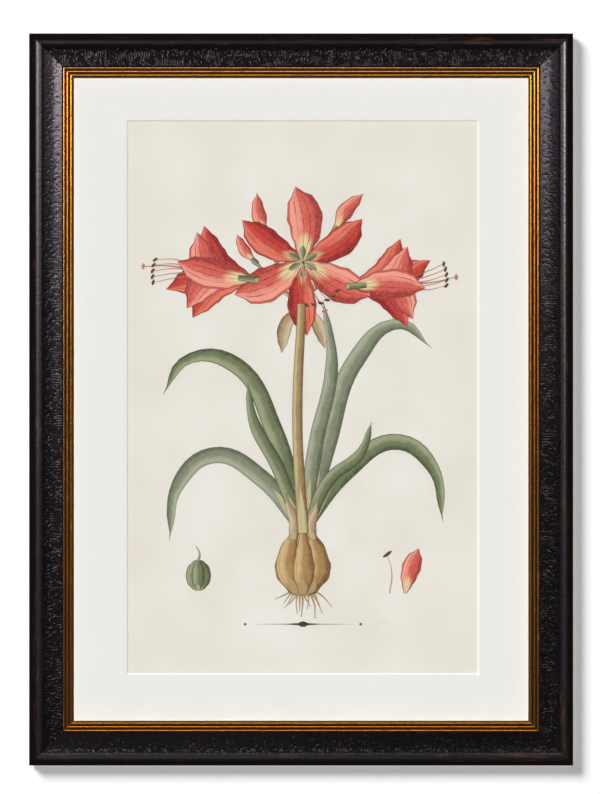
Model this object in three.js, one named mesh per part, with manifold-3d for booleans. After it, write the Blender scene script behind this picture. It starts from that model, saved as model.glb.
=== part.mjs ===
// A framed, glazed and mounted print that hangs on a wall.
// Millimetres, +Z up. The front faces -Y and the back lies on the plane Y = 0.
// The origin is on the centre line of the top rail's flat back, where the frame meets the wall.

import * as THREE from 'three';
import { mergeVertices } from 'three/addons/utils/BufferGeometryUtils.js';
import Module from 'manifold-3d';

// ---------------------------------------------------------------- driving dimensions
const FRAME_WIDTH = 489;
const FRAME_HEIGHT = 658;
const RAIL_WIDTH = 40.4;          // outer edge to sight edge
const RAIL_DEPTH = 22.5;          // back to the crown of the moulding
const REBATE_LIP = 6;             // how far the rail laps over the glass
const REBATE_DEPTH = 12;          // from the back up to the lip
const SEAM = 0.15;                // clearance left on each side of a joint
const STACK_SEAM = 0.05;          // clearance between the sheets behind the glass

// Moulding profile, u inwards from the outer edge and h forwards from the back.
const SHOULDER_HEIGHT = 12.4;     // where the straight outer side starts to round over
const SHOULDER_U = 0.9;           // where the rounding runs into the sloped outer flank
const CROWN_U = 9.2;              // highest line of the rounded crown
const CROWN_RADIUS = 6;
const CROWN_OUTER_WRAP = 0.995;   // radians from the crown to the flank, which is this steep
const CROWN_INNER_WRAP = 0.55;    // radians from the crown to where it turns into the scoop
const SCOOP_U = 16.6;             // lowest line of the scoop
const SCOOP_HEIGHT = 20.4;
const CROWN_SWEEP = 1.5;          // handle length at both ends of the turn from crown to scoop
const SCOOP_SWEEP = 4.5;          // handle length at both ends of the scoop
const LIP_SLOPE = 0.26;           // radians, how steeply the scoop meets the raised edge
const LIP_NOSE_RADIUS = 0.4;      // rounding of the raised edge
const LIP_HEIGHT = 22.1;          // top of the raised edge
const LEDGE_U = 30;               // inner side of the raised edge
const LEDGE_HEIGHT = 18.3;        // seat of the gilt slip

// Gilt slip: three half-round beads with flat quirks between, and a sloped sight edge.
const SLIP_BASE = 1;              // thickness under the beads
const SLIP_BEADS = 3;
const SLIP_BEAD_RADIUS = 1;
const SLIP_PITCH = 3.25;
const SLIP_FIRST_BEAD = 1.45;     // from the slip's outer side to its first bead's centre
const SIGHT_FLAT = 0.15;          // flat between the last bead and the sloped sight edge

// Sheets in the rebate, from the front.
const GLASS_THICKNESS = 2;
const MOUNT_THICKNESS = 1.4;
const PRINT_THICKNESS = 0.3;
const BACKING_THICKNESS = 3;
const SHEET_CLEARANCE = 0.6;      // all round, between the glass and the rebate
const WINDOW_WIDTH = 314;         // clear opening at the back of the bevel
const WINDOW_HEIGHT = 496;
const WINDOW_RIGHT = 1.6;         // the window's centre, from the frame's centre
const WINDOW_UP = 1.9;
const PRINT_MARGIN = 18;          // how far the print laps behind the mount board

// Flexible point tabs that hold the backing board.
const TAB_LENGTH = 12;
const TAB_WIDTH = 6;
const TAB_THICKNESS = 0.5;
const TAB_NOSE = 1.5;             // corners cut off the free end, which points inwards
const TABS_ON_LONG_SIDE = 4;
const TABS_ON_SHORT_SIDE = 3;

// Hangers: a folded strap screwed to each side rail, with a D ring in its eye.
const HANGER_DROP = 190;          // below the frame's top edge
const STRAP_OUTER_U = 4;
const STRAP_WIDTH = 12;
const STRAP_THICKNESS = 1.2;
const EYE_U = 26;                 // hinge axis, inwards from the frame's outer edge
const EYE_HEIGHT = 2.4;           // hinge axis, behind the rail
const EYE_OUTER_RADIUS = 2.2;
const EYE_BORE_RADIUS = 1.5;
const RING_WIRE_RADIUS = 1.1;
const RING_SIDES = 8;
const RING_HALF_SPAN = 8;         // hinge bar, from its middle to the wire's centre line
const RING_REACH = 13;            // hinge axis to the far side of the bow
const RING_CORNER = 2.4;
const RING_POINTS = 44;           // stations along the wire
const SCREW_U = 10.5;
const SCREW_HEAD_RADIUS = 3.4;
const SCREW_HEAD_HEIGHT = 1.8;
const SCREW_SHANK_RADIUS = 1.6;
const SCREW_DEPTH = 11;           // into the rail
const SCREW_POINT = 3;            // length of the tapered point
const SCREW_TIP_RADIUS = 0.5;
const SCREW_RIM = 0.4;            // straight edge under the domed head
const SCREW_CLEARANCE = 0.3;
const DRILL_SIDES = 24;

// Rubber bumpers on the bottom rail.
const BUMPER_RADIUS = 5;
const BUMPER_THICKNESS = 2.5;
const BUMPER_TOP_RADIUS = 3;
const BUMPER_RISE = 17;           // above the frame's lower edge
const BUMPER_INSET = 52;          // from the frame's outer side

// ---------------------------------------------------------------- worked-out sizes
const HALF_WIDTH = FRAME_WIDTH / 2;
const HALF_HEIGHT = FRAME_HEIGHT / 2;
const REBATE_U = RAIL_WIDTH - REBATE_LIP;
const ORIGIN_DROP = REBATE_U / 2;
const SHEET_WIDTH = FRAME_WIDTH - 2 * REBATE_U - 2 * SHEET_CLEARANCE;
const SHEET_HEIGHT = FRAME_HEIGHT - 2 * REBATE_U - 2 * SHEET_CLEARANCE;
const HANGER_Z = HALF_HEIGHT - HANGER_DROP;

const wasm = await Module();
wasm.setup();

// ---------------------------------------------------------------- materials
function material(name, color, roughness, metalness = 0, opacity = 1) {
  return new THREE.MeshStandardMaterial({
    name, color, roughness, metalness, opacity, transparent: opacity < 1,
  });
}

const blackWood = material('black_wood', 0x1f1a1c, 0.45);
const giltBead = material('gilt_bead', 0xc8861e, 0.35, 0.6);
const clearGlass = material('clear_glass', 0xf4f8f7, 0.05, 0, 0.12);
const mountCard = material('mount_card', 0xeceae6, 0.9);
const printPaper = material('print_paper', 0xe6e0d5, 0.9);
const hardboard = material('hardboard', 0x8a6a48, 0.85);
const springSteel = material('spring_steel', 0xa9adb0, 0.35, 0.9);
const nickelPlate = material('nickel_plate', 0xc9c6be, 0.3, 0.95);
const rubber = material('rubber', 0x2a2a2b, 0.8);

// ---------------------------------------------------------------- helpers
function mesh(name, geometry, surface, x = 0, y = 0, z = 0) {
  const piece = new THREE.Mesh(geometry, surface);
  piece.name = name;
  piece.position.set(x, y, z);
  return piece;
}

function toSolid(geometry) {
  const bare = geometry.clone();
  bare.deleteAttribute('normal');
  bare.deleteAttribute('uv');
  const merged = mergeVertices(bare, 1e-4);
  return new wasm.Manifold(new wasm.Mesh({
    numProp: 3,
    vertProperties: new Float32Array(merged.attributes.position.array),
    triVerts: new Uint32Array(merged.index.array),
  }));
}

function fromSolid(solid) {
  const result = solid.getMesh();
  const geometry = new THREE.BufferGeometry();
  geometry.setAttribute('position', new THREE.BufferAttribute(result.vertProperties, 3));
  geometry.setIndex(new THREE.BufferAttribute(result.triVerts, 1));
  const flat = geometry.toNonIndexed();
  flat.computeVertexNormals();
  return flat;
}

// A cylinder along Y that cuts through whatever lies between two depths.
function drill(radius, fromY, toY, x, z) {
  const bit = new THREE.CylinderGeometry(radius, radius, toY - fromY, DRILL_SIDES);
  bit.translate(x, (fromY + toY) / 2, z);
  return toSolid(bit);
}

// A moulding with both ends mitred at 45 degrees. Its outer edge lies along X at Z = 0, its
// profile runs inwards along -Z and forwards along -Y, and length is that of the outer edge.
function mitredRail(profile, length) {
  const geometry = new THREE.ExtrudeGeometry(profile, {
    depth: 1, bevelEnabled: false, curveSegments: 9,
  });
  const points = geometry.attributes.position;
  for (let i = 0; i < points.count; i += 1) {
    const u = points.getX(i);
    const h = points.getY(i);
    const along = (0.5 - points.getZ(i)) * (length - 2 * u - 2 * SEAM);
    points.setXYZ(i, along, -h, -u);
  }
  geometry.computeVertexNormals();
  return geometry;
}

// Turns a group made for the top of the frame to each of its four sides.
const SIDES = [
  { side: 'top', turn: 0, reach: HALF_HEIGHT, length: FRAME_WIDTH, tabs: TABS_ON_SHORT_SIDE },
  { side: 'right', turn: Math.PI / 2, reach: HALF_WIDTH, length: FRAME_HEIGHT, tabs: TABS_ON_LONG_SIDE },
  { side: 'bottom', turn: Math.PI, reach: HALF_HEIGHT, length: FRAME_WIDTH, tabs: TABS_ON_SHORT_SIDE },
  { side: 'left', turn: -Math.PI / 2, reach: HALF_WIDTH, length: FRAME_HEIGHT, tabs: TABS_ON_LONG_SIDE },
];

// ---------------------------------------------------------------- moulding and gilt slip
function railProfile() {
  const flankTopU = CROWN_U - CROWN_RADIUS * Math.sin(CROWN_OUTER_WRAP);
  const flankTopH = RAIL_DEPTH - CROWN_RADIUS * (1 - Math.cos(CROWN_OUTER_WRAP));
  const flankH = (u) => flankTopH - (flankTopU - u) * Math.tan(CROWN_OUTER_WRAP);
  const turnU = CROWN_U + CROWN_RADIUS * Math.sin(CROWN_INNER_WRAP);
  const turnH = RAIL_DEPTH - CROWN_RADIUS * (1 - Math.cos(CROWN_INNER_WRAP));
  const noseU = LEDGE_U - LIP_NOSE_RADIUS;
  const noseH = LIP_HEIGHT - LIP_NOSE_RADIUS;
  const lipU = noseU - LIP_NOSE_RADIUS * Math.sin(LIP_SLOPE);
  const lipH = noseH + LIP_NOSE_RADIUS * Math.cos(LIP_SLOPE);
  const profile = new THREE.Shape();
  profile.moveTo(0, 0);
  profile.lineTo(0, SHOULDER_HEIGHT);
  profile.quadraticCurveTo(0, flankH(0), SHOULDER_U, flankH(SHOULDER_U));
  profile.lineTo(flankTopU, flankTopH);
  profile.absarc(CROWN_U, RAIL_DEPTH - CROWN_RADIUS, CROWN_RADIUS,
    Math.PI / 2 + CROWN_OUTER_WRAP, Math.PI / 2 - CROWN_INNER_WRAP, true);
  profile.bezierCurveTo(
    turnU + CROWN_SWEEP * Math.cos(CROWN_INNER_WRAP), turnH - CROWN_SWEEP * Math.sin(CROWN_INNER_WRAP),
    SCOOP_U - CROWN_SWEEP, SCOOP_HEIGHT,
    SCOOP_U, SCOOP_HEIGHT);
  profile.bezierCurveTo(
    SCOOP_U + SCOOP_SWEEP, SCOOP_HEIGHT,
    lipU - SCOOP_SWEEP * Math.cos(LIP_SLOPE), lipH - SCOOP_SWEEP * Math.sin(LIP_SLOPE),
    lipU, lipH);
  profile.absarc(noseU, noseH, LIP_NOSE_RADIUS, Math.PI / 2 + LIP_SLOPE, 0, true);
  profile.lineTo(LEDGE_U, LEDGE_HEIGHT);
  profile.lineTo(RAIL_WIDTH, LEDGE_HEIGHT);
  profile.lineTo(RAIL_WIDTH, REBATE_DEPTH);
  profile.lineTo(REBATE_U, REBATE_DEPTH);
  profile.lineTo(REBATE_U, 0);
  profile.closePath();
  return profile;
}

function slipProfile() {
  const outer = LEDGE_U + SEAM;
  const seat = LEDGE_HEIGHT + SEAM;
  const top = seat + SLIP_BASE;
  const profile = new THREE.Shape();
  profile.moveTo(outer, seat);
  profile.lineTo(outer, top);
  let sightEdge = outer;
  for (let bead = 0; bead < SLIP_BEADS; bead += 1) {
    const centre = outer + SLIP_FIRST_BEAD + bead * SLIP_PITCH;
    profile.lineTo(centre - SLIP_BEAD_RADIUS, top);
    profile.absarc(centre, top, SLIP_BEAD_RADIUS, Math.PI, 0, true);
    sightEdge = centre + SLIP_BEAD_RADIUS;
  }
  profile.lineTo(sightEdge + SIGHT_FLAT, top);
  profile.lineTo(RAIL_WIDTH, seat);
  profile.closePath();
  return profile;
}

function makeRails() {
  const rails = new THREE.Group();
  const rail = railProfile();
  const slip = slipProfile();
  for (const { side, turn, reach, length } of SIDES) {
    let wood = mitredRail(rail, length);
    if (length === FRAME_HEIGHT) {
      const alongRail = side === 'left' ? HANGER_Z : -HANGER_Z;
      const pilot = drill(SCREW_SHANK_RADIUS + SCREW_CLEARANCE, -SCREW_DEPTH - SCREW_CLEARANCE, 1,
        alongRail, -SCREW_U);
      wood = fromSolid(toSolid(wood).subtract(pilot));
    }
    const station = new THREE.Group();
    station.rotation.y = turn;
    station.add(mesh(`rail_${side}`, wood, blackWood, 0, 0, reach));
    station.add(mesh(`gilt_slip_${side}`, mitredRail(slip, length), giltBead, 0, 0, reach));
    rails.add(station);
  }
  return rails;
}

// ---------------------------------------------------------------- sheets in the rebate
// A board standing in the XZ plane, its front at the given height above the back plane. It may
// have a rectangular window whose edge is cut at 45 degrees, so that it opens towards the front.
function sheet(name, surface, width, height, thickness, frontHeight, window = null) {
  const outline = new THREE.Shape();
  outline.moveTo(-width / 2, -height / 2);
  outline.lineTo(width / 2, -height / 2);
  outline.lineTo(width / 2, height / 2);
  outline.lineTo(-width / 2, height / 2);
  outline.closePath();
  if (window) {
    const hole = new THREE.Path();
    hole.moveTo(window.left, window.low);
    hole.lineTo(window.left, window.high);
    hole.lineTo(window.right, window.high);
    hole.lineTo(window.right, window.low);
    hole.closePath();
    outline.holes.push(hole);
  }
  const geometry = new THREE.ExtrudeGeometry(outline, { depth: thickness, bevelEnabled: false });
  if (window) {
    const points = geometry.attributes.position;
    for (let i = 0; i < points.count; i += 1) {
      const x = points.getX(i);
      const z = points.getY(i);
      const onWindow = Math.abs(x) < width / 2 - 1 && Math.abs(z) < height / 2 - 1;
      if (onWindow && points.getZ(i) > thickness / 2) {
        points.setX(i, x + (x > window.middle ? thickness : -thickness));
        points.setY(i, z + (z > window.centre ? thickness : -thickness));
      }
    }
  }
  geometry.rotateX(Math.PI / 2);
  geometry.computeVertexNormals();
  return mesh(name, geometry, surface, 0, thickness - frontHeight, 0);
}

function makeSheets() {
  const window = {
    left: WINDOW_RIGHT - WINDOW_WIDTH / 2,
    right: WINDOW_RIGHT + WINDOW_WIDTH / 2,
    low: WINDOW_UP - WINDOW_HEIGHT / 2,
    high: WINDOW_UP + WINDOW_HEIGHT / 2,
    middle: WINDOW_RIGHT,
    centre: WINDOW_UP,
  };
  const glassFront = REBATE_DEPTH - STACK_SEAM;
  const mountFront = glassFront - GLASS_THICKNESS - STACK_SEAM;
  const printFront = mountFront - MOUNT_THICKNESS - STACK_SEAM;
  const backingFront = printFront - PRINT_THICKNESS - STACK_SEAM;
  const print = sheet('print_sheet', printPaper, WINDOW_WIDTH + 2 * PRINT_MARGIN,
    WINDOW_HEIGHT + 2 * PRINT_MARGIN, PRINT_THICKNESS, printFront);
  print.position.x = WINDOW_RIGHT;
  print.position.z = WINDOW_UP;
  const sheets = new THREE.Group();
  sheets.add(
    sheet('glazing', clearGlass, SHEET_WIDTH, SHEET_HEIGHT, GLASS_THICKNESS, glassFront),
    sheet('mount_board', mountCard, SHEET_WIDTH, SHEET_HEIGHT, MOUNT_THICKNESS, mountFront, window),
    print,
    sheet('backing_board', hardboard, SHEET_WIDTH, SHEET_HEIGHT, BACKING_THICKNESS, backingFront),
  );
  return { sheets, backingBack: backingFront - BACKING_THICKNESS };
}

// ---------------------------------------------------------------- point tabs
function tabGeometry() {
  const outline = new THREE.Shape();
  outline.moveTo(-TAB_WIDTH / 2, 0);
  outline.lineTo(-TAB_WIDTH / 2, -TAB_LENGTH + TAB_NOSE);
  outline.lineTo(-TAB_WIDTH / 2 + TAB_NOSE, -TAB_LENGTH);
  outline.lineTo(TAB_WIDTH / 2 - TAB_NOSE, -TAB_LENGTH);
  outline.lineTo(TAB_WIDTH / 2, -TAB_LENGTH + TAB_NOSE);
  outline.lineTo(TAB_WIDTH / 2, 0);
  outline.closePath();
  const geometry = new THREE.ExtrudeGeometry(outline, { depth: TAB_THICKNESS, bevelEnabled: false });
  geometry.rotateX(Math.PI / 2);
  return geometry;
}

function makeTabs(backingBack) {
  const tabs = new THREE.Group();
  const blade = tabGeometry();
  let number = 1;
  for (const { turn, reach, length, tabs: count } of SIDES) {
    const station = new THREE.Group();
    station.rotation.y = turn;
    const inside = length - 2 * REBATE_U;
    for (let i = 0; i < count; i += 1) {
      const along = inside * ((i + 0.5) / count - 0.5);
      const name = `point_tab_${String(number).padStart(2, '0')}`;
      const behind = TAB_THICKNESS + STACK_SEAM - backingBack;
      station.add(mesh(name, blade, springSteel, along, behind, reach - REBATE_U - SEAM));
      number += 1;
    }
    tabs.add(station);
  }
  return tabs;
}

// ---------------------------------------------------------------- hangers
const LATHE_STEPS = 24;
const DOME_STEPS = 5;

// Local frame of a hanger: origin on the hinge axis, +X towards the middle of the picture.
function strapGeometry() {
  const tail = STRAP_OUTER_U - EYE_U;
  const floor = STACK_SEAM - EYE_HEIGHT;
  const deck = floor + STRAP_THICKNESS;
  const deckAngle = Math.asin(deck / EYE_OUTER_RADIUS);
  const floorAngle = Math.asin(Math.max(floor / EYE_OUTER_RADIUS, -1));
  const outline = new THREE.Shape();
  outline.moveTo(tail, floor);
  outline.absarc(0, 0, EYE_OUTER_RADIUS, floorAngle, Math.PI - deckAngle, false);
  outline.lineTo(tail, deck);
  outline.closePath();
  const bore = new THREE.Path();
  bore.absarc(0, 0, EYE_BORE_RADIUS, 0, Math.PI * 2, true);
  outline.holes.push(bore);
  const body = new THREE.ExtrudeGeometry(outline, {
    depth: STRAP_WIDTH, bevelEnabled: false, curveSegments: 14,
  });
  body.translate(0, 0, -STRAP_WIDTH / 2);
  const hole = drill(SCREW_SHANK_RADIUS + SCREW_CLEARANCE, floor - 1, deck + 1, SCREW_U - EYE_U, 0);
  return fromSolid(toSolid(body).subtract(hole));
}

// A closed loop of round wire that follows a D in the XZ plane, its straight bar on the Z axis.
function ringGeometry() {
  const bend = RING_CORNER;
  const bowRadius = RING_HALF_SPAN;
  const path = new THREE.Path();
  path.moveTo(0, 0);
  path.lineTo(0, RING_HALF_SPAN - bend);
  path.absarc(bend, RING_HALF_SPAN - bend, bend, Math.PI, Math.PI / 2, true);
  path.lineTo(RING_REACH - bowRadius, RING_HALF_SPAN);
  path.absarc(RING_REACH - bowRadius, 0, bowRadius, Math.PI / 2, -Math.PI / 2, true);
  path.lineTo(bend, -RING_HALF_SPAN);
  path.absarc(bend, -RING_HALF_SPAN + bend, bend, -Math.PI / 2, -Math.PI, true);
  path.lineTo(0, 0);
  const loop = path.getSpacedPoints(RING_POINTS).slice(0, -1);
  const positions = [];
  const triangles = [];
  loop.forEach((point, i) => {
    const before = loop.at(i - 1);
    const after = loop[(i + 1) % loop.length];
    const outward = new THREE.Vector2(before.y - after.y, after.x - before.x).normalize();
    for (let side = 0; side < RING_SIDES; side += 1) {
      const angle = (side / RING_SIDES) * Math.PI * 2;
      const reach = RING_WIRE_RADIUS * Math.cos(angle);
      positions.push(
        point.x + outward.x * reach,
        RING_WIRE_RADIUS * Math.sin(angle),
        point.y + outward.y * reach);
      const here = i * RING_SIDES + side;
      const next = i * RING_SIDES + ((side + 1) % RING_SIDES);
      const hereAfter = ((i + 1) % loop.length) * RING_SIDES + side;
      const nextAfter = ((i + 1) % loop.length) * RING_SIDES + ((side + 1) % RING_SIDES);
      triangles.push(here, hereAfter, next, next, hereAfter, nextAfter);
    }
  });
  const geometry = new THREE.BufferGeometry();
  geometry.setAttribute('position', new THREE.Float32BufferAttribute(positions, 3));
  geometry.setIndex(triangles);
  geometry.computeVertexNormals();
  return geometry;
}

function screwGeometry() {
  const headSeat = STACK_SEAM + STRAP_THICKNESS + STACK_SEAM;
  const profile = [new THREE.Vector2(0, -SCREW_DEPTH)];
  profile.push(new THREE.Vector2(SCREW_TIP_RADIUS, -SCREW_DEPTH));
  profile.push(new THREE.Vector2(SCREW_SHANK_RADIUS, SCREW_POINT - SCREW_DEPTH));
  profile.push(new THREE.Vector2(SCREW_SHANK_RADIUS, headSeat));
  profile.push(new THREE.Vector2(SCREW_HEAD_RADIUS, headSeat));
  for (let step = 1; step <= DOME_STEPS; step += 1) {
    const angle = (step / DOME_STEPS) * (Math.PI / 2);
    profile.push(new THREE.Vector2(
      SCREW_HEAD_RADIUS * Math.cos(angle),
      headSeat + SCREW_RIM + (SCREW_HEAD_HEIGHT - SCREW_RIM) * Math.sin(angle)));
  }
  profile[profile.length - 1].x = 0;
  return new THREE.LatheGeometry(profile, LATHE_STEPS);
}

function makeHangers() {
  const hangers = new THREE.Group();
  for (const { side, turn, x } of [
    { side: 'left', turn: 0, x: EYE_U - HALF_WIDTH },
    { side: 'right', turn: Math.PI, x: HALF_WIDTH - EYE_U },
  ]) {
    const hanger = new THREE.Group();
    hanger.position.set(x, 0, HANGER_Z);
    hanger.rotation.y = turn;
    hanger.add(
      mesh(`hanger_strap_${side}`, strapGeometry(), nickelPlate, 0, EYE_HEIGHT, 0),
      mesh(`hanger_ring_${side}`, ringGeometry(), nickelPlate, 0, EYE_HEIGHT, 0),
      mesh(`hanger_screw_${side}`, screwGeometry(), nickelPlate, SCREW_U - EYE_U, 0, 0),
    );
    hangers.add(hanger);
  }
  return hangers;
}

// ---------------------------------------------------------------- bumpers
function makeBumpers() {
  const bumpers = new THREE.Group();
  const shoulder = BUMPER_THICKNESS / 2;
  const profile = [
    new THREE.Vector2(0, STACK_SEAM),
    new THREE.Vector2(BUMPER_RADIUS, STACK_SEAM),
    new THREE.Vector2(BUMPER_RADIUS, shoulder),
    new THREE.Vector2((BUMPER_RADIUS + BUMPER_TOP_RADIUS) / 2, (shoulder + BUMPER_THICKNESS) / 2),
    new THREE.Vector2(BUMPER_TOP_RADIUS, BUMPER_THICKNESS),
    new THREE.Vector2(0, BUMPER_THICKNESS),
  ];
  for (const [side, direction] of [['left', -1], ['right', 1]]) {
    bumpers.add(mesh(`wall_bumper_${side}`, new THREE.LatheGeometry(profile, LATHE_STEPS), rubber,
      direction * (HALF_WIDTH - BUMPER_INSET), 0, BUMPER_RISE - HALF_HEIGHT));
  }
  return bumpers;
}

// ---------------------------------------------------------------- assembly
const picture = new THREE.Group();
picture.position.z = ORIGIN_DROP - HALF_HEIGHT;
const { sheets, backingBack } = makeSheets();
picture.add(makeRails(), sheets, makeTabs(backingBack), makeHangers(), makeBumpers());

const group = new THREE.Group();
group.add(picture);

export default group;
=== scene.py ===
# %% [markdown]
# # A framed print, finished in Blender
# The object is a portrait print under glass: four lengths of dark embossed moulding with gilt
# beads at the sight edge, a window-cut mount board, an aged sheet with a hand-coloured plant, and
# the board, tabs and hangers behind. Its measured parts come in first, and everything that
# follows is drawn to their sizes, so no piece ever has to be fitted by eye.

# %% Load the measured parts
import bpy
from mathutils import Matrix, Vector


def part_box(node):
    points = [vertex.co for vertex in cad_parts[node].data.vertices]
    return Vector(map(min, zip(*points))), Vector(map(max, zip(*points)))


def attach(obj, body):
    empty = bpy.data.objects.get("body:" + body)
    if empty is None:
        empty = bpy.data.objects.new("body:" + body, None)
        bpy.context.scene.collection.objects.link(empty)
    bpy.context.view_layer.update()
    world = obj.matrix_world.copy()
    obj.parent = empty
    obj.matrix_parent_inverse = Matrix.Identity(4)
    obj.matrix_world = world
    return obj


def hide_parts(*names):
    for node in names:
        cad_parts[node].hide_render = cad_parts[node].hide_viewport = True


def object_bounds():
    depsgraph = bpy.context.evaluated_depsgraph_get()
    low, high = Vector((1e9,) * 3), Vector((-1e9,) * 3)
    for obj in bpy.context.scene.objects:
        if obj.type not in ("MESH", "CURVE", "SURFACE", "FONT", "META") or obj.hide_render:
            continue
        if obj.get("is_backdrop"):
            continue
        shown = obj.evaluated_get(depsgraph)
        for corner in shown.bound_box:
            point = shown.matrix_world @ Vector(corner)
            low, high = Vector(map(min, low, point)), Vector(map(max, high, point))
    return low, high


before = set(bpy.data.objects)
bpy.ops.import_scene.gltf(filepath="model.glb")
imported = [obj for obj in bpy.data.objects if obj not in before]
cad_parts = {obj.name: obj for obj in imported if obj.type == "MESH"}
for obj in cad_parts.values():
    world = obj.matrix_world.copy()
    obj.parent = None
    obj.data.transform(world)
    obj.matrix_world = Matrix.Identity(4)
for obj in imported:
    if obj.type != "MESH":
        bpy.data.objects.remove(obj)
CAD_LOW, CAD_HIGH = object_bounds()
print("measured parts:", len(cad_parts), "box", tuple(CAD_LOW), tuple(CAD_HIGH))

# %% Modules and sizes that every later cell shares
import math
import random

import bmesh
import bpy
from mathutils import Vector

MM = 0.001
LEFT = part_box("rail_left")[0].x
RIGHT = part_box("rail_right")[1].x
BOTTOM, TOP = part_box("rail_bottom")[0].z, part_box("rail_top")[1].z
CENTRE = Vector(((LEFT + RIGHT) / 2, 0, (BOTTOM + TOP) / 2))
HALF_WIDTH, HALF_HEIGHT = (RIGHT - LEFT) / 2, (TOP - BOTTOM) / 2
RAIL_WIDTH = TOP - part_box("rail_top")[0].z
SIDES = ("top", "right", "bottom", "left")
print(f"frame {(RIGHT - LEFT) / MM:.0f} x {(TOP - BOTTOM) / MM:.0f} mm, rails {RAIL_WIDTH / MM:.1f} mm wide")

# %% [markdown]
# ## Working like a modeller, in code
# Operators act on whatever is selected, and the measured parts arrive selected. So each tool here
# first clears the selection, then picks out what it works on by place, exactly as a hand would.

# %% Selection and modifier helpers
def pick(*objects):
    """Leaves only these objects selected, the first one active, in object mode."""
    if bpy.context.object and bpy.context.object.mode != "OBJECT":
        bpy.ops.object.mode_set(mode="OBJECT")
    bpy.ops.object.select_all(action="DESELECT")
    for obj in objects:
        obj.select_set(True)
    if objects:
        bpy.context.view_layer.objects.active = objects[0]


def edit(obj, mode="VERT"):
    """Opens a piece in edit mode with everything selected."""
    pick(obj)
    bpy.ops.object.mode_set(mode="EDIT")
    bpy.ops.mesh.select_mode(type=mode)
    bpy.ops.mesh.select_all(action="SELECT")


def select_where(obj, kind, test):
    """In edit mode, selects the verts, edges or faces whose middle passes the test."""
    bpy.ops.mesh.select_mode(type={"verts": "VERT", "edges": "EDGE", "faces": "FACE"}[kind])
    bpy.ops.mesh.select_all(action="DESELECT")
    shape = bmesh.from_edit_mesh(obj.data)
    for part in getattr(shape, kind):
        place = part.co if kind == "verts" else (
            part.calc_center_median() if kind == "faces" else (part.verts[0].co + part.verts[1].co) / 2)
        if test(place, part):
            part.select_set(True)
    shape.select_flush_mode()
    bmesh.update_edit_mesh(obj.data)


def finish_mesh(obj, smooth=None):
    """Back to object mode with the place in the mesh, and optionally smooth below an angle."""
    pick(obj)
    bpy.ops.object.transform_apply(location=True, rotation=True, scale=True)
    if smooth is not None:
        bpy.ops.object.shade_smooth_by_angle(angle=math.radians(smooth))
    return obj


def copy_of(obj, name):
    """A copy with its own mesh."""
    twin = obj.copy()
    twin.data = obj.data.copy()
    twin.name = name
    twin.data.name = name
    bpy.context.scene.collection.objects.link(twin)
    return twin


def face_outwards(obj):
    """Recalculates the normals of a closed shell, and checks them by its volume."""
    edit(obj)
    bpy.ops.mesh.normals_make_consistent(inside=False)
    if bmesh.from_edit_mesh(obj.data).calc_volume(signed=True) < 0:
        bpy.ops.mesh.flip_normals()
    bpy.ops.object.mode_set(mode="OBJECT")


def apply_modifier(obj, modifier):
    pick(obj)
    bpy.ops.object.modifier_apply(modifier=modifier.name)


def modify(obj, kind, **settings):
    """Adds a modifier with these settings, and applies it at once."""
    step = obj.modifiers.new(kind.lower(), kind)
    for key, value in settings.items():
        setattr(step, key, value)
    apply_modifier(obj, step)


def run_nodes(obj, tree, values):
    """Runs a Geometry Nodes group on a piece, with values for its named inputs, and keeps the result."""
    step = obj.modifiers.new(tree.name, "NODES")
    step.node_group = tree
    for item in tree.interface.items_tree:
        if item.name in values:
            step[item.identifier] = values[item.name]
    apply_modifier(obj, step)


def triangles(obj):
    obj.data.calc_loop_triangles()
    return len(obj.data.loop_triangles)


def own_copy(node, name):
    """A merged, editable copy of a measured part, whose own mesh is loose triangles."""
    twin = copy_of(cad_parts[node], name)
    twin.parent = None
    for key in list(twin.keys()):
        del twin[key]
    twin.data.materials.clear()
    twin.rotation_mode = "XYZ"
    edit(twin)
    bpy.ops.mesh.remove_doubles(threshold=0.005 * MM)
    bpy.ops.mesh.customdata_custom_splitnormals_clear()
    bpy.ops.object.mode_set(mode="OBJECT")
    return twin


def belongs(piece, node=None, body="frame"):
    """Puts a finished piece on the body it rides on, and hides the measured part it stands in for."""
    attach(piece, body)
    if node:
        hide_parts(node)

# %% [markdown]
# ## Wiring nodes
# Every finish and the carved relief are node networks. One small class adds a node, sets it and
# feeds its sockets in a single call, and the same calls work in a material, in a shader group and
# in Geometry Nodes. So a pattern is written once, then carved into a mesh and coloured to match.

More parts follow.
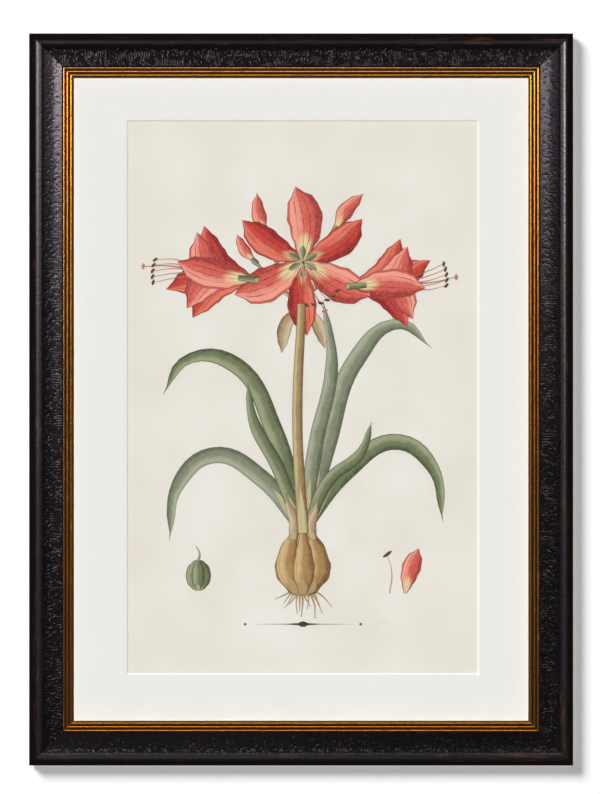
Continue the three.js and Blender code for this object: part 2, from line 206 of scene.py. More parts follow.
# %% A short way to add and link nodes
class Wiring:
    """Adds nodes to one tree. A socket is fed by another socket, a number or a colour."""

    def __init__(self, tree):
        self.tree = tree

    def node(self, kind, feeds=None, **settings):
        node = self.tree.nodes.new(kind)
        for key, value in settings.items():
            setattr(node, key, value)
        for key, value in (feeds or {}).items():
            self.feed(node.inputs[key], value)
        return node

    def feed(self, socket, value):
        if isinstance(value, bpy.types.NodeSocket):
            self.tree.links.new(value, socket)
        elif isinstance(value, (tuple, list)) and len(value) == 3 and socket.type == "RGBA":
            socket.default_value = (*value, 1.0)
        else:
            socket.default_value = value

    def math(self, operation, first, second=None, third=None, clamp=False):
        feeds = {i: v for i, v in enumerate((first, second, third)) if v is not None}
        return self.node("ShaderNodeMath", feeds, operation=operation, use_clamp=clamp).outputs[0]

    def times(self, first, *others):
        """The product of two or more numbers."""
        for other in others:
            first = self.math("MULTIPLY", first, other)
        return first

    def plus(self, first, second, clamp=False):
        return self.math("ADD", first, second, clamp=clamp)

    def minus(self, first, second):
        return self.math("SUBTRACT", first, second)

    def vector(self, operation, first, second=None):
        feeds = {i: v for i, v in enumerate((first, second)) if v is not None}
        node = self.node("ShaderNodeVectorMath", feeds, operation=operation)
        return node.outputs["Value" if operation in ("LENGTH", "DISTANCE", "DOT_PRODUCT") else "Vector"]

    def stretch(self, vector, factors):
        return self.vector("MULTIPLY", vector, factors)

    def shift(self, vector, step):
        return self.vector("ADD", vector, step)

    def here(self):
        """The place on the finished piece, in metres."""
        return self.node("ShaderNodeTexCoord").outputs["Object"]

    def split(self, vector):
        return self.node("ShaderNodeSeparateXYZ", {0: vector}).outputs

    def join(self, x=0.0, y=0.0, z=0.0):
        return self.node("ShaderNodeCombineXYZ", {0: x, 1: y, 2: z}).outputs[0]

    def smooth(self, value, low, high, start=0.0, end=1.0):
        """A soft step: start below low, end above high."""
        return self.node("ShaderNodeMapRange", {"Value": value, "From Min": low, "From Max": high,
                                                "To Min": start, "To Max": end},
                         interpolation_type="SMOOTHSTEP").outputs[0]

    def noise(self, vector, scale, detail=2.0, roughness=0.5, distortion=0.0):
        return self.node("ShaderNodeTexNoise", {"Vector": vector, "Scale": scale, "Detail": detail,
                                                "Roughness": roughness, "Distortion": distortion}).outputs[0]

    def cells(self, vector, scale, feature="F1"):
        return self.node("ShaderNodeTexVoronoi", {"Vector": vector, "Scale": scale},
                         feature=feature).outputs["Distance"]

    def mix(self, factor, first, second, blend="MIX"):
        node = self.node("ShaderNodeMix", data_type="RGBA", blend_type=blend)
        for socket, value in ((node.inputs[0], factor), (node.inputs[6], first), (node.inputs[7], second)):
            self.feed(socket, value)
        return node.outputs[2]

    def blend(self, factor, first, second):
        """A number between two others."""
        node = self.node("ShaderNodeMix", data_type="FLOAT")
        for socket, value in ((node.inputs[0], factor), (node.inputs[2], first), (node.inputs[3], second)):
            self.feed(socket, value)
        return node.outputs[0]

    def ramp(self, value, stops):
        node = self.node("ShaderNodeValToRGB", {0: value})
        ramp = node.color_ramp
        while len(ramp.elements) < len(stops):
            ramp.elements.new(0.5)
        for element, (place, colour) in zip(ramp.elements, stops):
            element.position, element.color = place, (*colour, 1.0)
        return node.outputs[0]

    def attribute(self, name, output="Vector"):
        return self.node("ShaderNodeAttribute", attribute_name=name).outputs[output]

    def note(self, geometry, name, value, kind="FLOAT"):
        """In Geometry Nodes, leaves a named value on every point for a finish to read."""
        feeds = {"Geometry": geometry, "Name": name, "Value": value}
        return self.node("GeometryNodeStoreNamedAttribute", feeds, data_type=kind, domain="POINT").outputs[0]

    def bump(self, height, distance, strength=1.0):
        return self.node("ShaderNodeBump", {"Height": height, "Distance": distance,
                                            "Strength": strength}).outputs[0]


# %% A material with one Principled shader, and groups with named sockets
def material(name, **constants):
    """A new material; its constants are set on the shader's own sockets."""
    made = bpy.data.materials.new(name)
    made.use_nodes = True
    shader = made.node_tree.nodes["Principled BSDF"]
    for key, value in constants.items():
        socket = shader.inputs[key.replace("_", " ")]
        socket.default_value = (*value, 1.0) if isinstance(value, tuple) else value
    return made, Wiring(made.node_tree), shader.inputs


def group(name, inputs, outputs, kind="ShaderNodeTree"):
    """An empty node group with named sockets, its wiring, and its two end nodes."""
    tree = bpy.data.node_groups.new(name, kind)
    for title, (socket, value) in inputs.items():
        made = tree.interface.new_socket(title, in_out="INPUT", socket_type=f"NodeSocket{socket}")
        if value is not None:
            made.default_value = value
    for title, socket in outputs.items():
        tree.interface.new_socket(title, in_out="OUTPUT", socket_type=f"NodeSocket{socket}")
    wiring = Wiring(tree)
    return tree, wiring, wiring.node("NodeGroupInput").outputs, wiring.node("NodeGroupOutput").inputs


def place_group(wiring, tree, feeds):
    """Puts a shader group into a material with this material's own values."""
    return wiring.node("ShaderNodeGroup", feeds, node_tree=tree).outputs


def give(obj, *materials):
    obj.data.materials.clear()
    for made in materials:
        obj.data.materials.append(made)


def tally(made):
    """Prints how many nodes a material or a group came to."""
    tree = made.node_tree if isinstance(made, bpy.types.Material) else made
    print(f"{made.name}: {len(tree.nodes)} nodes")


# %% [markdown]
# ## Camera and room
# A framed print is catalogued hung flat on a white wall, seen square on. The camera stands 6 m
# off with a long lens, far enough that the moulding's depth does not splay, and the sensor is set
# by its longer side so the picture's height decides the framing.

# %% Camera
VIEW_PIXELS, PIXEL = 794, 0.8985 * MM
VIEW_SPAN = VIEW_PIXELS * PIXEL
VIEW_SHIFT = (-1.0 * MM, 2.2 * MM)
CAMERA_DISTANCE = 6.0
FRONT_PLANE = -14 * MM
SENSOR = 36.0
camera_data = bpy.data.cameras.new("camera")
camera_data.sensor_fit, camera_data.sensor_width = "AUTO", SENSOR
camera_data.lens = SENSOR * CAMERA_DISTANCE / VIEW_SPAN
camera = bpy.data.objects.new("camera", camera_data)
bpy.context.scene.collection.objects.link(camera)
camera.location = CENTRE + Vector((VIEW_SHIFT[0], FRONT_PLANE - CAMERA_DISTANCE, VIEW_SHIFT[1]))
camera.rotation_euler = (math.radians(90), 0, 0)
bpy.context.scene.camera = camera
bpy.context.scene.view_settings.view_transform = "Standard"
print(f"lens {camera_data.lens:.1f} mm at {CAMERA_DISTANCE} m")

# %% [markdown]
# A white wall right behind the frame takes its soft shadow, low and to the right, and that shadow
# is what makes the frame hang on something. The wall shows only from the front, and to no other
# ray, so it neither hides the back of the frame nor throws light into it. Away from the frame it
# melts into the white room.

# %% Wall
WALL_GAP = 1.0 * MM
WALL_REACH = 1.6
SHADOW_LEVEL = 0.355
WALL_COLOUR = 0.8
bpy.ops.object.select_all(action="DESELECT")
wall_y = CAD_HIGH.y + WALL_GAP
bpy.ops.mesh.primitive_plane_add(size=2 * WALL_REACH, location=(CENTRE.x, wall_y, CENTRE.z),
                                 rotation=(math.radians(90), 0, 0))
wall = bpy.context.object
wall.name = wall.data.name = "wall"
finish_mesh(wall)
wall_finish, wires, shader = material("wall_paint")
tree = wall_finish.node_tree
tree.nodes.remove(tree.nodes["Principled BSDF"])
diffuse = wires.node("ShaderNodeBsdfDiffuse", {"Color": (WALL_COLOUR,) * 3})
glow = wires.node("ShaderNodeEmission", {"Color": (1, 1, 1), "Strength": SHADOW_LEVEL})
room = wires.node("ShaderNodeEmission", {"Color": (1, 1, 1), "Strength": 1.0})
lit = wires.node("ShaderNodeAddShader", {0: diffuse.outputs[0], 1: glow.outputs[0]})
place = wires.here()
away = wires.vector("DISTANCE", place, (CENTRE.x, wall_y, CENTRE.z))
edge = wires.smooth(away, 0.5 * WALL_REACH, 0.75 * WALL_REACH)
shown = wires.node("ShaderNodeMixShader", {0: edge, 1: lit.outputs[0], 2: room.outputs[0]})
camera_ray = wires.node("ShaderNodeLightPath").outputs["Is Camera Ray"]
front = wires.minus(1.0, wires.node("ShaderNodeNewGeometry").outputs["Backfacing"])
clear = wires.node("ShaderNodeBsdfTransparent")
seen = wires.node("ShaderNodeMixShader", {0: wires.times(camera_ray, front),
                                          1: clear.outputs[0], 2: shown.outputs[0]})
tree.links.new(seen.outputs[0], tree.nodes["Material Output"].inputs[0])
give(wall, wall_finish)
wall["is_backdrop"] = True
print(f"wall: {WALL_GAP / MM:.0f} mm behind the frame")

# %% White room
world = bpy.data.worlds.new("room")
world.use_nodes = True
bpy.context.scene.world = world
wires = Wiring(world.node_tree)
sky = world.node_tree.nodes["Background"]
ROOM_SHADE = 0.035
seen_white = wires.node("ShaderNodeBackground", {"Color": (1, 1, 1), "Strength": 1.0})
room_mix = wires.node("ShaderNodeMixShader", {0: wires.node("ShaderNodeLightPath").outputs["Is Camera Ray"],
                                              1: sky.outputs[0], 2: seen_white.outputs[0]})
sky.inputs["Color"].default_value = (1, 1, 1, 1)
sky.inputs["Strength"].default_value = ROOM_SHADE
world.node_tree.links.new(room_mix.outputs[0], world.node_tree.nodes["World Output"].inputs[0])
print("room shade:", ROOM_SHADE)

# %% [markdown]
# ## Light
# Three jobs, three kinds of lamp. A sun that only the wall receives draws the drop shadow. A wide
# sun straight ahead lights card and paper evenly, and is kept out of reflections. Two tall soft
# boxes, high on either side, are seen only as reflections: they run down the upright rails and
# fade before the bottom, which is what shows black lacquer and gilding as what they are. A
# panel's power grows with its size here, so a wider one looks no dimmer in the shine.

# %% Lamps
def lamp(name, kind, energy, location, aim, **settings):
    data = bpy.data.lights.new(name, kind)
    data.energy = energy
    for key, value in settings.items():
        setattr(data, key, value)
    obj = bpy.data.objects.new(name, data)
    bpy.context.scene.collection.objects.link(obj)
    obj.visible_camera = False
    obj.location = location
    obj.rotation_euler = (Vector(aim) - Vector(location)).to_track_quat("-Z", "Y").to_euler()
    return obj


def only_for(obj, receivers, state="INCLUDE"):
    """Light linking: the lamp lights only these objects, or all but these."""
    linked = bpy.data.collections.new(f"{obj.name}_receivers")
    for receiver in receivers:
        linked.objects.link(receiver)
    for entry in linked.collection_objects:
        entry.light_linking.link_state = state
    obj.light_linking.receiver_collection = linked


SHADOW_LEAN, SHADOW_BLUR = 0.62, math.radians(21)
PAPER_LEVEL, PAPER_LEAN, PAPER_BLUR = 1.053, 0.28, math.radians(50)
facing = 1 / math.sqrt(1 + 2 * SHADOW_LEAN ** 2)
shadow_sun = lamp("shadow_sun", "SUN", (1 - SHADOW_LEVEL) * math.pi / (WALL_COLOUR * facing),
                  CENTRE + Vector((-SHADOW_LEAN, -1.0, SHADOW_LEAN)), CENTRE, angle=SHADOW_BLUR)
only_for(shadow_sun, [wall])
paper_sun = lamp("paper_sun", "SUN", PAPER_LEVEL * math.pi,
                 CENTRE + Vector((-PAPER_LEAN, -1.0, PAPER_LEAN)), CENTRE, angle=PAPER_BLUR)
paper_sun.visible_glossy = False
only_for(paper_sun, [wall], "EXCLUDE")
BOX_RANGE, BOX_HEIGHT, BOX_FOOT = 2.0, 1.2, 0.30
BOX_AZIMUTH = {"left": -36, "right": 30, "near": 0}
BOX_WIDTH = {"left": 1.0, "right": 0.72, "near": 3.2}
BOX_TINT = (1.0, 0.945, 0.975)


def panel(name, glow, place, aim, width, height):
    """A flat lit panel that is only seen in what it gives a shine to."""
    made = lamp(name, "AREA", glow * math.pi * width * height, place, aim,
                shape="RECTANGLE", size=width, size_y=height)
    made.visible_diffuse = False
    return made


def soft_box(side, name, glow):
    """A panel to one side of the camera, which starts a little above the frame's middle."""
    turn = math.radians(BOX_AZIMUTH[side])
    place = Vector((math.sin(turn), -math.cos(turn), 0)) * BOX_RANGE
    place.z = BOX_FOOT + BOX_HEIGHT / 2
    box = panel(f"{name}_{side}", glow, CENTRE + place, CENTRE + Vector((0, 0, place.z)),
                BOX_WIDTH[side], BOX_HEIGHT)
    box.data.color = BOX_TINT
    return box


BOX_GLOW = {"left": 9.8, "right": 5.4}
soft_boxes = {side: soft_box(side, "soft_box", glow) for side, glow in BOX_GLOW.items()}

# %% [markdown]
# ## The moulding
# A framer's moulding comes as a long stick milled to one section and pressed with a pattern, and
# the frame is four lengths of it, mitred. Its section climbs a steep flank to a rounded crown near
# the outer edge, dips into a shallow scoop, and rises again to the gilding. It is made the same
# way here: the section is cut out of a measured rail, drawn out into a stick, and four copies are
# turned, cut at 45 degrees and laid round. Drawing out in short even steps leaves a mesh fine
# enough to carve the pressed marks in.

# %% Section and stick
def section_of(node, name, merge):
    """The outline of a rail at its mid-length, as a loop with its outer edge on the X axis."""
    loop = own_copy(node, name)
    edit(loop, "EDGE")
    bpy.ops.mesh.bisect(plane_co=(0, 0, 0), plane_no=(1, 0, 0), clear_inner=True, clear_outer=True)
    bpy.ops.mesh.select_all(action="SELECT")
    bpy.ops.mesh.remove_doubles(threshold=merge)
    bpy.ops.mesh.select_all(action="SELECT")
    bpy.ops.transform.translate(value=(0, 0, -TOP))
    bpy.ops.object.mode_set(mode="OBJECT")
    return loop


def drawn_out(loop, length, step):
    """Draws a section out along X in even steps, centred on x = 0."""
    count = math.ceil(length / step)
    edit(loop, "EDGE")
    bpy.ops.transform.translate(value=(-length / 2, 0, 0))
    bpy.ops.mesh.extrude_region_move(TRANSFORM_OT_translate={"value": (length / count, 0, 0)})
    bpy.ops.object.mode_set(mode="OBJECT")
    modify(loop, "ARRAY", count=count, use_relative_offset=False, use_constant_offset=True,
           constant_offset_displace=(length / count, 0, 0),
           use_merge_vertices=True, merge_threshold=0.01 * MM)
    return loop


STICK_STEP = 0.8 * MM
STICK_SPARE = 2 * MM
SECTION_MERGE = 0.3 * MM
stick = drawn_out(section_of("rail_top", "stick", SECTION_MERGE), 2 * HALF_HEIGHT + STICK_SPARE, STICK_STEP)
print("stick:", len(stick.data.vertices), "points")

# %% Cut a length, turn it to its side
MITRE_GAP = 0.15 * MM


def mitred_length(source, name, side, seam=MITRE_GAP):
    """Copies the stick and cuts both ends at 45 degrees, still lying along X."""
    piece = copy_of(source, name)
    half = (HALF_WIDTH if side in ("top", "bottom") else HALF_HEIGHT) - seam / 2
    edit(piece)
    for end in (-1, 1):
        bpy.ops.mesh.select_all(action="SELECT")
        bpy.ops.mesh.bisect(plane_co=(end * half, 0, 0), plane_no=(-end, 0, 1), use_fill=True,
                            clear_inner=True)
    face_outwards(piece)
    return piece


def lay_round(piece, side):
    """Turns a length about the frame's middle and pushes it out to its own side."""
    turn = math.radians(90) * SIDES.index(side)
    out = Vector((math.sin(turn), 0, math.cos(turn)))
    piece.rotation_euler = (0, turn, 0)
    piece.location = CENTRE + Vector((out.x * HALF_WIDTH, 0, out.z * HALF_HEIGHT))
    return finish_mesh(piece)

# %% [markdown]
# The pattern pressed into the moulding looks like figured burr: short curls, commas and ticks in
# the scoop, and a few dents on the crown. A line of equal height in a cloudy noise is a curl, so
# the marks are a narrow band around one height, and a second noise breaks them into short pieces.
# Geometry Nodes press them into the mesh, and leave three notes on every point for the finish to
# read: where it lay on the stick, how deep it was pressed, and how much polish it has kept.
# Polish is given apart for the outer and the inner side of each crown.

# %% The curls, as a pattern for any tree
CURL_SWAY = 5 * MM
RIPPLE = 2.3 * MM


def curl_marks(wires, lie, width):
    """1 along short winding marks, 0 between them. lie is the place on the straight stick."""
    sway = wires.node("ShaderNodeTexNoise", {"Vector": lie, "Scale": 150.0, "Detail": 1.0}).outputs["Color"]
    sway = wires.stretch(wires.vector("SUBTRACT", sway, (0.5, 0.5, 0.5)), (CURL_SWAY,) * 3)
    height = wires.noise(wires.stretch(wires.shift(lie, sway), (1.0, 1.0, 0.8)), 250.0, detail=1.5)
    off_line = wires.math("ABSOLUTE", wires.minus(height, 0.5))
    line = wires.smooth(off_line, width, 0.25 * width)
    broken = wires.smooth(wires.noise(lie, 300.0, detail=1.0), 0.46, 0.53)
    return wires.times(line, broken)


def ripple_marks(wires, lie):
    """1 on the crests of short rungs across the stick, which come in patches."""
    phase = wires.times(wires.noise(lie, 110.0), 7.0)
    turns = wires.plus(wires.times(wires.split(lie)[0], 2 * math.pi / RIPPLE), phase)
    crest = wires.smooth(wires.math("SINE", turns), 0.2, 0.8)
    elsewhere = wires.shift(lie, (0.0, 0.0, 0.31))
    patch = wires.smooth(wires.noise(elsewhere, 105.0, detail=2.0), 0.53, 0.60)
    return wires.times(crest, patch)


# %% Relief: a Geometry Nodes group that presses the marks in
LIP_START = 28.4 * MM
SCOOP = (9.0 * MM, 14.0 * MM)
CROWN_LINE = (8.0 * MM, 9.8 * MM)
MARK_DEEP, PIT_DEEP, WAVE_DEEP = 0.10 * MM, 0.06 * MM, 0.075 * MM
relief, wires, given, put = group(
    "pressed_relief",
    {"Geometry": ("Geometry", None), "Lie shift": ("Vector", (0, 0, 0)),
     "Outer polish": ("Float", 1.0), "Inner polish": ("Float", 1.0)},
    {"Geometry": "Geometry"}, "GeometryNodeTree")
at = wires.node("GeometryNodeInputPosition").outputs[0]
lie = wires.shift(at, given["Lie shift"])
toward, across = wires.split(at)[1:]
inwards = wires.times(across, -1.0)
forward = wires.times(toward, -1.0)
on_face = wires.times(wires.smooth(inwards, 1.0 * MM, 4 * MM),
                      wires.smooth(inwards, LIP_START, LIP_START - 1.2 * MM),
                      wires.smooth(forward, 13.5 * MM, 15.0 * MM))
in_scoop = wires.smooth(inwards, *SCOOP, 0.3, 1.0)
marks = wires.times(curl_marks(wires, lie, 0.06), wires.times(on_face, in_scoop))
pits = wires.times(wires.smooth(wires.cells(lie, 210.0), 0.34, 0.16), on_face)
pits = wires.times(pits, wires.smooth(wires.noise(lie, 55.0), 0.5, 0.62))
waves = wires.minus(wires.noise(lie, 70.0, detail=3.0), 0.5)
depth = wires.plus(wires.times(marks, MARK_DEEP), wires.times(pits, PIT_DEEP))
depth = wires.plus(depth, wires.times(waves, on_face, WAVE_DEEP))
move = wires.node("ShaderNodeVectorMath", {0: wires.node("GeometryNodeInputNormal").outputs[0],
                                           "Scale": wires.times(depth, -1.0)}, operation="SCALE")
burnished = wires.blend(wires.smooth(inwards, *CROWN_LINE), given["Outer polish"], given["Inner polish"])
noted = wires.note(given["Geometry"], "lie", lie, "FLOAT_VECTOR")
noted = wires.note(noted, "pressed", wires.math("MAXIMUM", marks, pits))
noted = wires.note(noted, "burnished", burnished)
pushed = wires.node("GeometryNodeSetPosition", {"Geometry": noted, "Offset": move.outputs["Vector"]})
wires.feed(put[0], pushed.outputs[0])
tally(relief)

# %% [markdown]
# The face is stained nearly black under a soft wax polish. Polish is brightest where hands and
# cloths reach, so the crown wears through to red-brown in thin streaks along the stick, while wax
# and dust stay in the pressed marks and make them greyer and duller. The back and the rebate were
# never stained, and show the bare timber.

# %% Bare timber, shared by every unstained face
timber, wires, given, put = group("bare_timber", {"Along": ("Vector", None), "Growth": ("Float", 900.0)},
                                  {"Colour": "Color", "Height": "Float"})
drawn = wires.stretch(given["Along"], (0.045, 1.0, 1.0))
rings = wires.noise(drawn, given["Growth"], detail=4.0, roughness=0.6)
vessels = wires.cells(wires.stretch(given["Along"], (0.06, 1.0, 1.0)), 1600.0)
pores = wires.smooth(vessels, 0.22, 0.10)
TIMBER = ((0.25, (0.40, 0.25, 0.12)), (0.5, (0.53, 0.36, 0.19)), (0.75, (0.63, 0.46, 0.27)))
colour = wires.mix(wires.times(pores, 0.55), wires.ramp(rings, TIMBER), (0.22, 0.12, 0.05))
wires.feed(put["Colour"], colour)
wires.feed(put["Height"], wires.minus(rings, wires.times(pores, 0.4)))
tally(timber)

# %% Black lacquer
STAIN_FOOT = (0.25 * MM, 0.12 * MM)
STAIN_END = (30.6 * MM, 31.0 * MM)
black_wood, wires, shader = material("black_wood", IOR=1.5, Specular_Tint=(1.0, 0.93, 1.0),
                                     Coat_Roughness=0.25, Coat_IOR=2.5)
lie = wires.attribute("lie")
pressed_in = wires.attribute("pressed", "Fac")
stick_y, stick_z = wires.split(lie)[1:]
inwards = wires.times(stick_z, -1.0)
forward = wires.times(stick_y, -1.0)
streaks = wires.noise(wires.stretch(lie, (0.10, 1.0, 1.0)), 420.0, detail=3.0, roughness=0.65)
clouds = wires.noise(lie, 26.0, detail=3.0)
on_crown = wires.times(wires.smooth(inwards, 3.8 * MM, 6.0 * MM),
                       wires.smooth(inwards, 14.0 * MM, 10.0 * MM))
on_shoulder = wires.times(wires.smooth(inwards, 3.0 * MM, 4.5 * MM),
                          wires.smooth(inwards, 7.0 * MM, 5.0 * MM))
worn = wires.times(wires.smooth(streaks, 0.52, 0.68), wires.smooth(clouds, 0.44, 0.60),
                   wires.plus(wires.times(on_crown, 0.7), on_shoulder, clamp=True))
stain = wires.mix(clouds, (0.0026, 0.0020, 0.0028), (0.0060, 0.0044, 0.0060))
stain = wires.mix(wires.smooth(inwards, 9.0 * MM, 3.0 * MM, 0.0, 0.6), stain, (0.0075, 0.0040, 0.0030))
stain = wires.mix(wires.times(worn, 0.75), stain, (0.10, 0.026, 0.012))
rungs = ripple_marks(wires, lie)
curls = curl_marks(wires, lie, 0.045)
waxed = wires.times(wires.math("MAXIMUM", pressed_in, rungs),
                    wires.smooth(wires.noise(lie, 330.0), 0.38, 0.62))
stain = wires.mix(wires.times(waxed, 0.12), stain, (0.022, 0.016, 0.020))
bare = wires.math("MAXIMUM", wires.smooth(forward, *STAIN_FOOT), wires.smooth(inwards, *STAIN_END))
wood = place_group(wires, timber, {"Along": lie})
wires.feed(shader["Base Color"], wires.mix(bare, stain, wood["Colour"]))
rough = wires.plus(wires.blend(streaks, 0.15, 0.22), wires.times(waxed, 0.05))
rough = wires.plus(rough, wires.times(on_crown, 0.11))
wires.feed(shader["Roughness"], wires.blend(bare, rough, 0.75))
polish = wires.times(on_crown, wires.attribute("burnished", "Fac"))
wires.feed(shader["Coat Weight"], wires.times(polish, wires.blend(clouds, 1.0, 0.5)))
fine = wires.noise(wires.stretch(lie, (0.35, 1.0, 1.0)), 1500.0, detail=3.0)
in_scoop = wires.smooth(inwards, *SCOOP, 0.2, 1.0)
cut = wires.times(wires.plus(wires.times(curls, 0.8), wires.times(rungs, 0.35)), in_scoop)
height = wires.minus(wires.times(fine, 0.12), cut)
wires.feed(shader["Normal"], wires.bump(wires.blend(bare, height, wood["Height"]), 0.15 * MM, 0.7))
tally(black_wood)

# %% Four rails
CROWN_POLISH = {"top": (0.0, 0.0), "right": (0.85, 0.9), "bottom": (1.0, 0.4), "left": (0.05, 0.9)}
PATTERN_SHIFT = 0.9
rails = {}
for number, side in enumerate(SIDES):
    rail = mitred_length(stick, f"moulding_{side}", side)
    outer, inner = CROWN_POLISH[side]
    run_nodes(rail, relief, {"Lie shift": (PATTERN_SHIFT * number, 0.0, 0.0),
                             "Outer polish": outer, "Inner polish": inner})
    lay_round(rail, side)
    bpy.ops.object.shade_smooth_by_angle(angle=math.radians(38))
    give(rail, black_wood)
    belongs(rail, f"rail_{side}")
    rails[side] = rail
    print(rail.name, triangles(rail), "triangles")
bpy.data.objects.remove(stick)

# %% [markdown]
# Each soft box shines on the side of a crown that faces it. The other side needs a weaker shine,
# or the crown would look like a thin bright wire. It comes from one wide, faint panel straight
# over the camera, and only the two uprights receive it.

# %% A wide, faint panel for the uprights
near_panel = soft_box("near", "soft_strip", 0.75)
only_for(near_panel, [rails["left"], rails["right"]])
print("faint panel:", near_panel.name)

# %% [markdown]
# ## The gilt slip
# Inside the lacquer runs a slip with three gilt beads and dark hollows between them. Its section
# is cut and drawn out in the same way, in longer steps, with a slow waver so that the light breaks
# along it as it does on leaf laid by hand.

# %% Gilding
BASE_OF_BEADS = 19.45 * MM
SIGHT_EDGE = (39.25 * MM, 39.6 * MM)
gilding, wires, shader = material("gilt_bead", Specular_Tint=(1.0, 0.8, 0.5))
lie = wires.attribute("lie")
stick_y, stick_z = wires.split(lie)[1:]
forward = wires.times(stick_y, -1.0)
on_bead = wires.smooth(forward, BASE_OF_BEADS + 0.60 * MM, BASE_OF_BEADS + 0.80 * MM)
patches = wires.noise(wires.stretch(lie, (0.12, 1.0, 1.0)), 330.0, detail=4.0, roughness=0.7)
rubbed = wires.smooth(patches, 0.56, 0.70)
leaf = wires.mix(patches, (1.0, 0.40, 0.012), (0.94, 0.29, 0.004))
leaf = wires.mix(wires.times(rubbed, 0.8), leaf, (0.30, 0.055, 0.006))
hollow = wires.mix(wires.smooth(patches, 0.5, 0.8), (0.0020, 0.0018, 0.0090), (0.016, 0.006, 0.004))
sight_wall = wires.smooth(wires.times(stick_z, -1.0), *SIGHT_EDGE)
ground = wires.mix(sight_wall, hollow, (0.075, 0.040, 0.012))
wires.feed(shader["Base Color"], wires.mix(on_bead, ground, leaf))
wires.feed(shader["Metallic"], wires.times(on_bead, wires.smooth(rubbed, 1.4, 0.2)))
wires.feed(shader["Roughness"], wires.blend(on_bead, 0.9, wires.blend(patches, 0.18, 0.30)))
wires.feed(shader["Normal"], wires.bump(wires.noise(lie, 900.0, detail=3.0), 0.06 * MM, 0.4))
tally(gilding)

# %% Four slips
SLIP_STEP = 2.0 * MM
LEAF_WAVER = 0.08 * MM
waver, wires, given, put = group(
    "leaf_waver", {"Geometry": ("Geometry", None), "Lie shift": ("Vector", (0, 0, 0))},
    {"Geometry": "Geometry"}, "GeometryNodeTree")
at = wires.node("GeometryNodeInputPosition").outputs[0]
lie = wires.shift(at, given["Lie shift"])
toward = wires.split(at)[1]
raised = wires.smooth(wires.times(toward, -1.0), BASE_OF_BEADS, BASE_OF_BEADS + 0.6 * MM)
unsteady = wires.minus(wires.noise(wires.stretch(lie, (0.5, 1.0, 1.0)), 160.0), 0.5)
noted = wires.note(given["Geometry"], "lie", lie, "FLOAT_VECTOR")
offset = wires.join(y=wires.times(raised, unsteady, LEAF_WAVER))
moved = wires.node("GeometryNodeSetPosition", {"Geometry": noted, "Offset": offset})
wires.feed(put[0], moved.outputs[0])
slip_stick = drawn_out(section_of("gilt_slip_top", "slip_stick", 0.1 * MM), 2 * HALF_HEIGHT, SLIP_STEP)
gilded = []
for number, side in enumerate(SIDES):
    slip = mitred_length(slip_stick, f"gilding_{side}", side)
    run_nodes(slip, waver, {"Lie shift": (PATTERN_SHIFT * number, 0.0, 0.0)})
    lay_round(slip, side)
    bpy.ops.object.shade_smooth_by_angle(angle=math.radians(35))
    give(slip, gilding)
    belongs(slip, f"gilt_slip_{side}")
    gilded.append(slip)
    print(slip.name, triangles(slip), "triangles")
bpy.data.objects.remove(slip_stick)

# %% [markdown]
# Metal returns twenty times as much light as lacquer, so one set of lamps can't show both well.
# As in a studio, each gets its own: the gilding has weaker boxes at the sides and a low strip
# overhead for the level beads, which face up and down, and the big boxes are flagged off it. Each
# big box is flagged off the upright on the far side too, which would mirror it a second time, and
# two faint strips show the top and the bottom rail.

# %% Lamps for the gilding, and strips for the level rails
for side, far_side in (("left", "right"), ("right", "left")):
    only_for(soft_boxes[side], [wall, rails[far_side]] + gilded, "EXCLUDE")
leaf_lamps = [soft_box("left", "leaf_box", 12.5), soft_box("right", "leaf_box", 2.2)]
OVERHEAD, BELOW = CENTRE + Vector((0, -1.4, 1.3)), CENTRE + Vector((-0.25, -2.0, -0.9))
leaf_lamps.append(panel("leaf_strip", 4.0, OVERHEAD, CENTRE, 1.2, 0.5))
for leaf_lamp in leaf_lamps:
    only_for(leaf_lamp, gilded)
only_for(panel("top_strip", 0.09, OVERHEAD, CENTRE, 1.2, 0.5), [rails["top"]])
only_for(panel("low_strip", 0.13, BELOW, CENTRE, 0.6, 2.4), [rails["bottom"]])
print("lamps for the gilding:", [leaf_lamp.name for leaf_lamp in leaf_lamps])

# %% [markdown]
# The frame stands a centimetre proud of the card, so a sun from one side would shade the card all
# along the rails. In a white room that shade is filled in from every side. So the moulding and
# the gilding simply don't block this sun.

# %% Nothing of the moulding shades the card
unshaded = bpy.data.collections.new("no_shadow_on_card")
for length in (*rails.values(), *gilded):
    unshaded.objects.link(length)
for entry in unshaded.collection_objects:
    entry.light_linking.link_state = "EXCLUDE"
paper_sun.light_linking.blocker_collection = unshaded

# %% [markdown]
# ## Mount board
# The window mount is thick white card, cut at 45 degrees so that its white core shows as a bright
# line round the picture. An inset in a sheet makes the window, the window's edges are moved and
# pulled in to their measured place, and a second inset draws the bevel.

# %% Window mount
MOUNT_LOW, MOUNT_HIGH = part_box("mount_board")
WINDOW_WIDTH, WINDOW_HEIGHT, BEVEL = 314 * MM, 496 * MM, 1.4 * MM
WINDOW = CENTRE + Vector((1.6 * MM, 0, 1.9 * MM))
INSET = 10 * MM


def board(name, low, high):
    """A flat upright board between two corners, as a front face ready to be cut."""
    pick()
    bpy.ops.mesh.primitive_plane_add(size=1, rotation=(math.radians(90), 0, 0),
                                     location=((low.x + high.x) / 2, low.y, (low.z + high.z) / 2))
    made = bpy.context.object
    made.name = made.data.name = name
    made.scale = (high.x - low.x, high.z - low.z, 1)
    return finish_mesh(made)


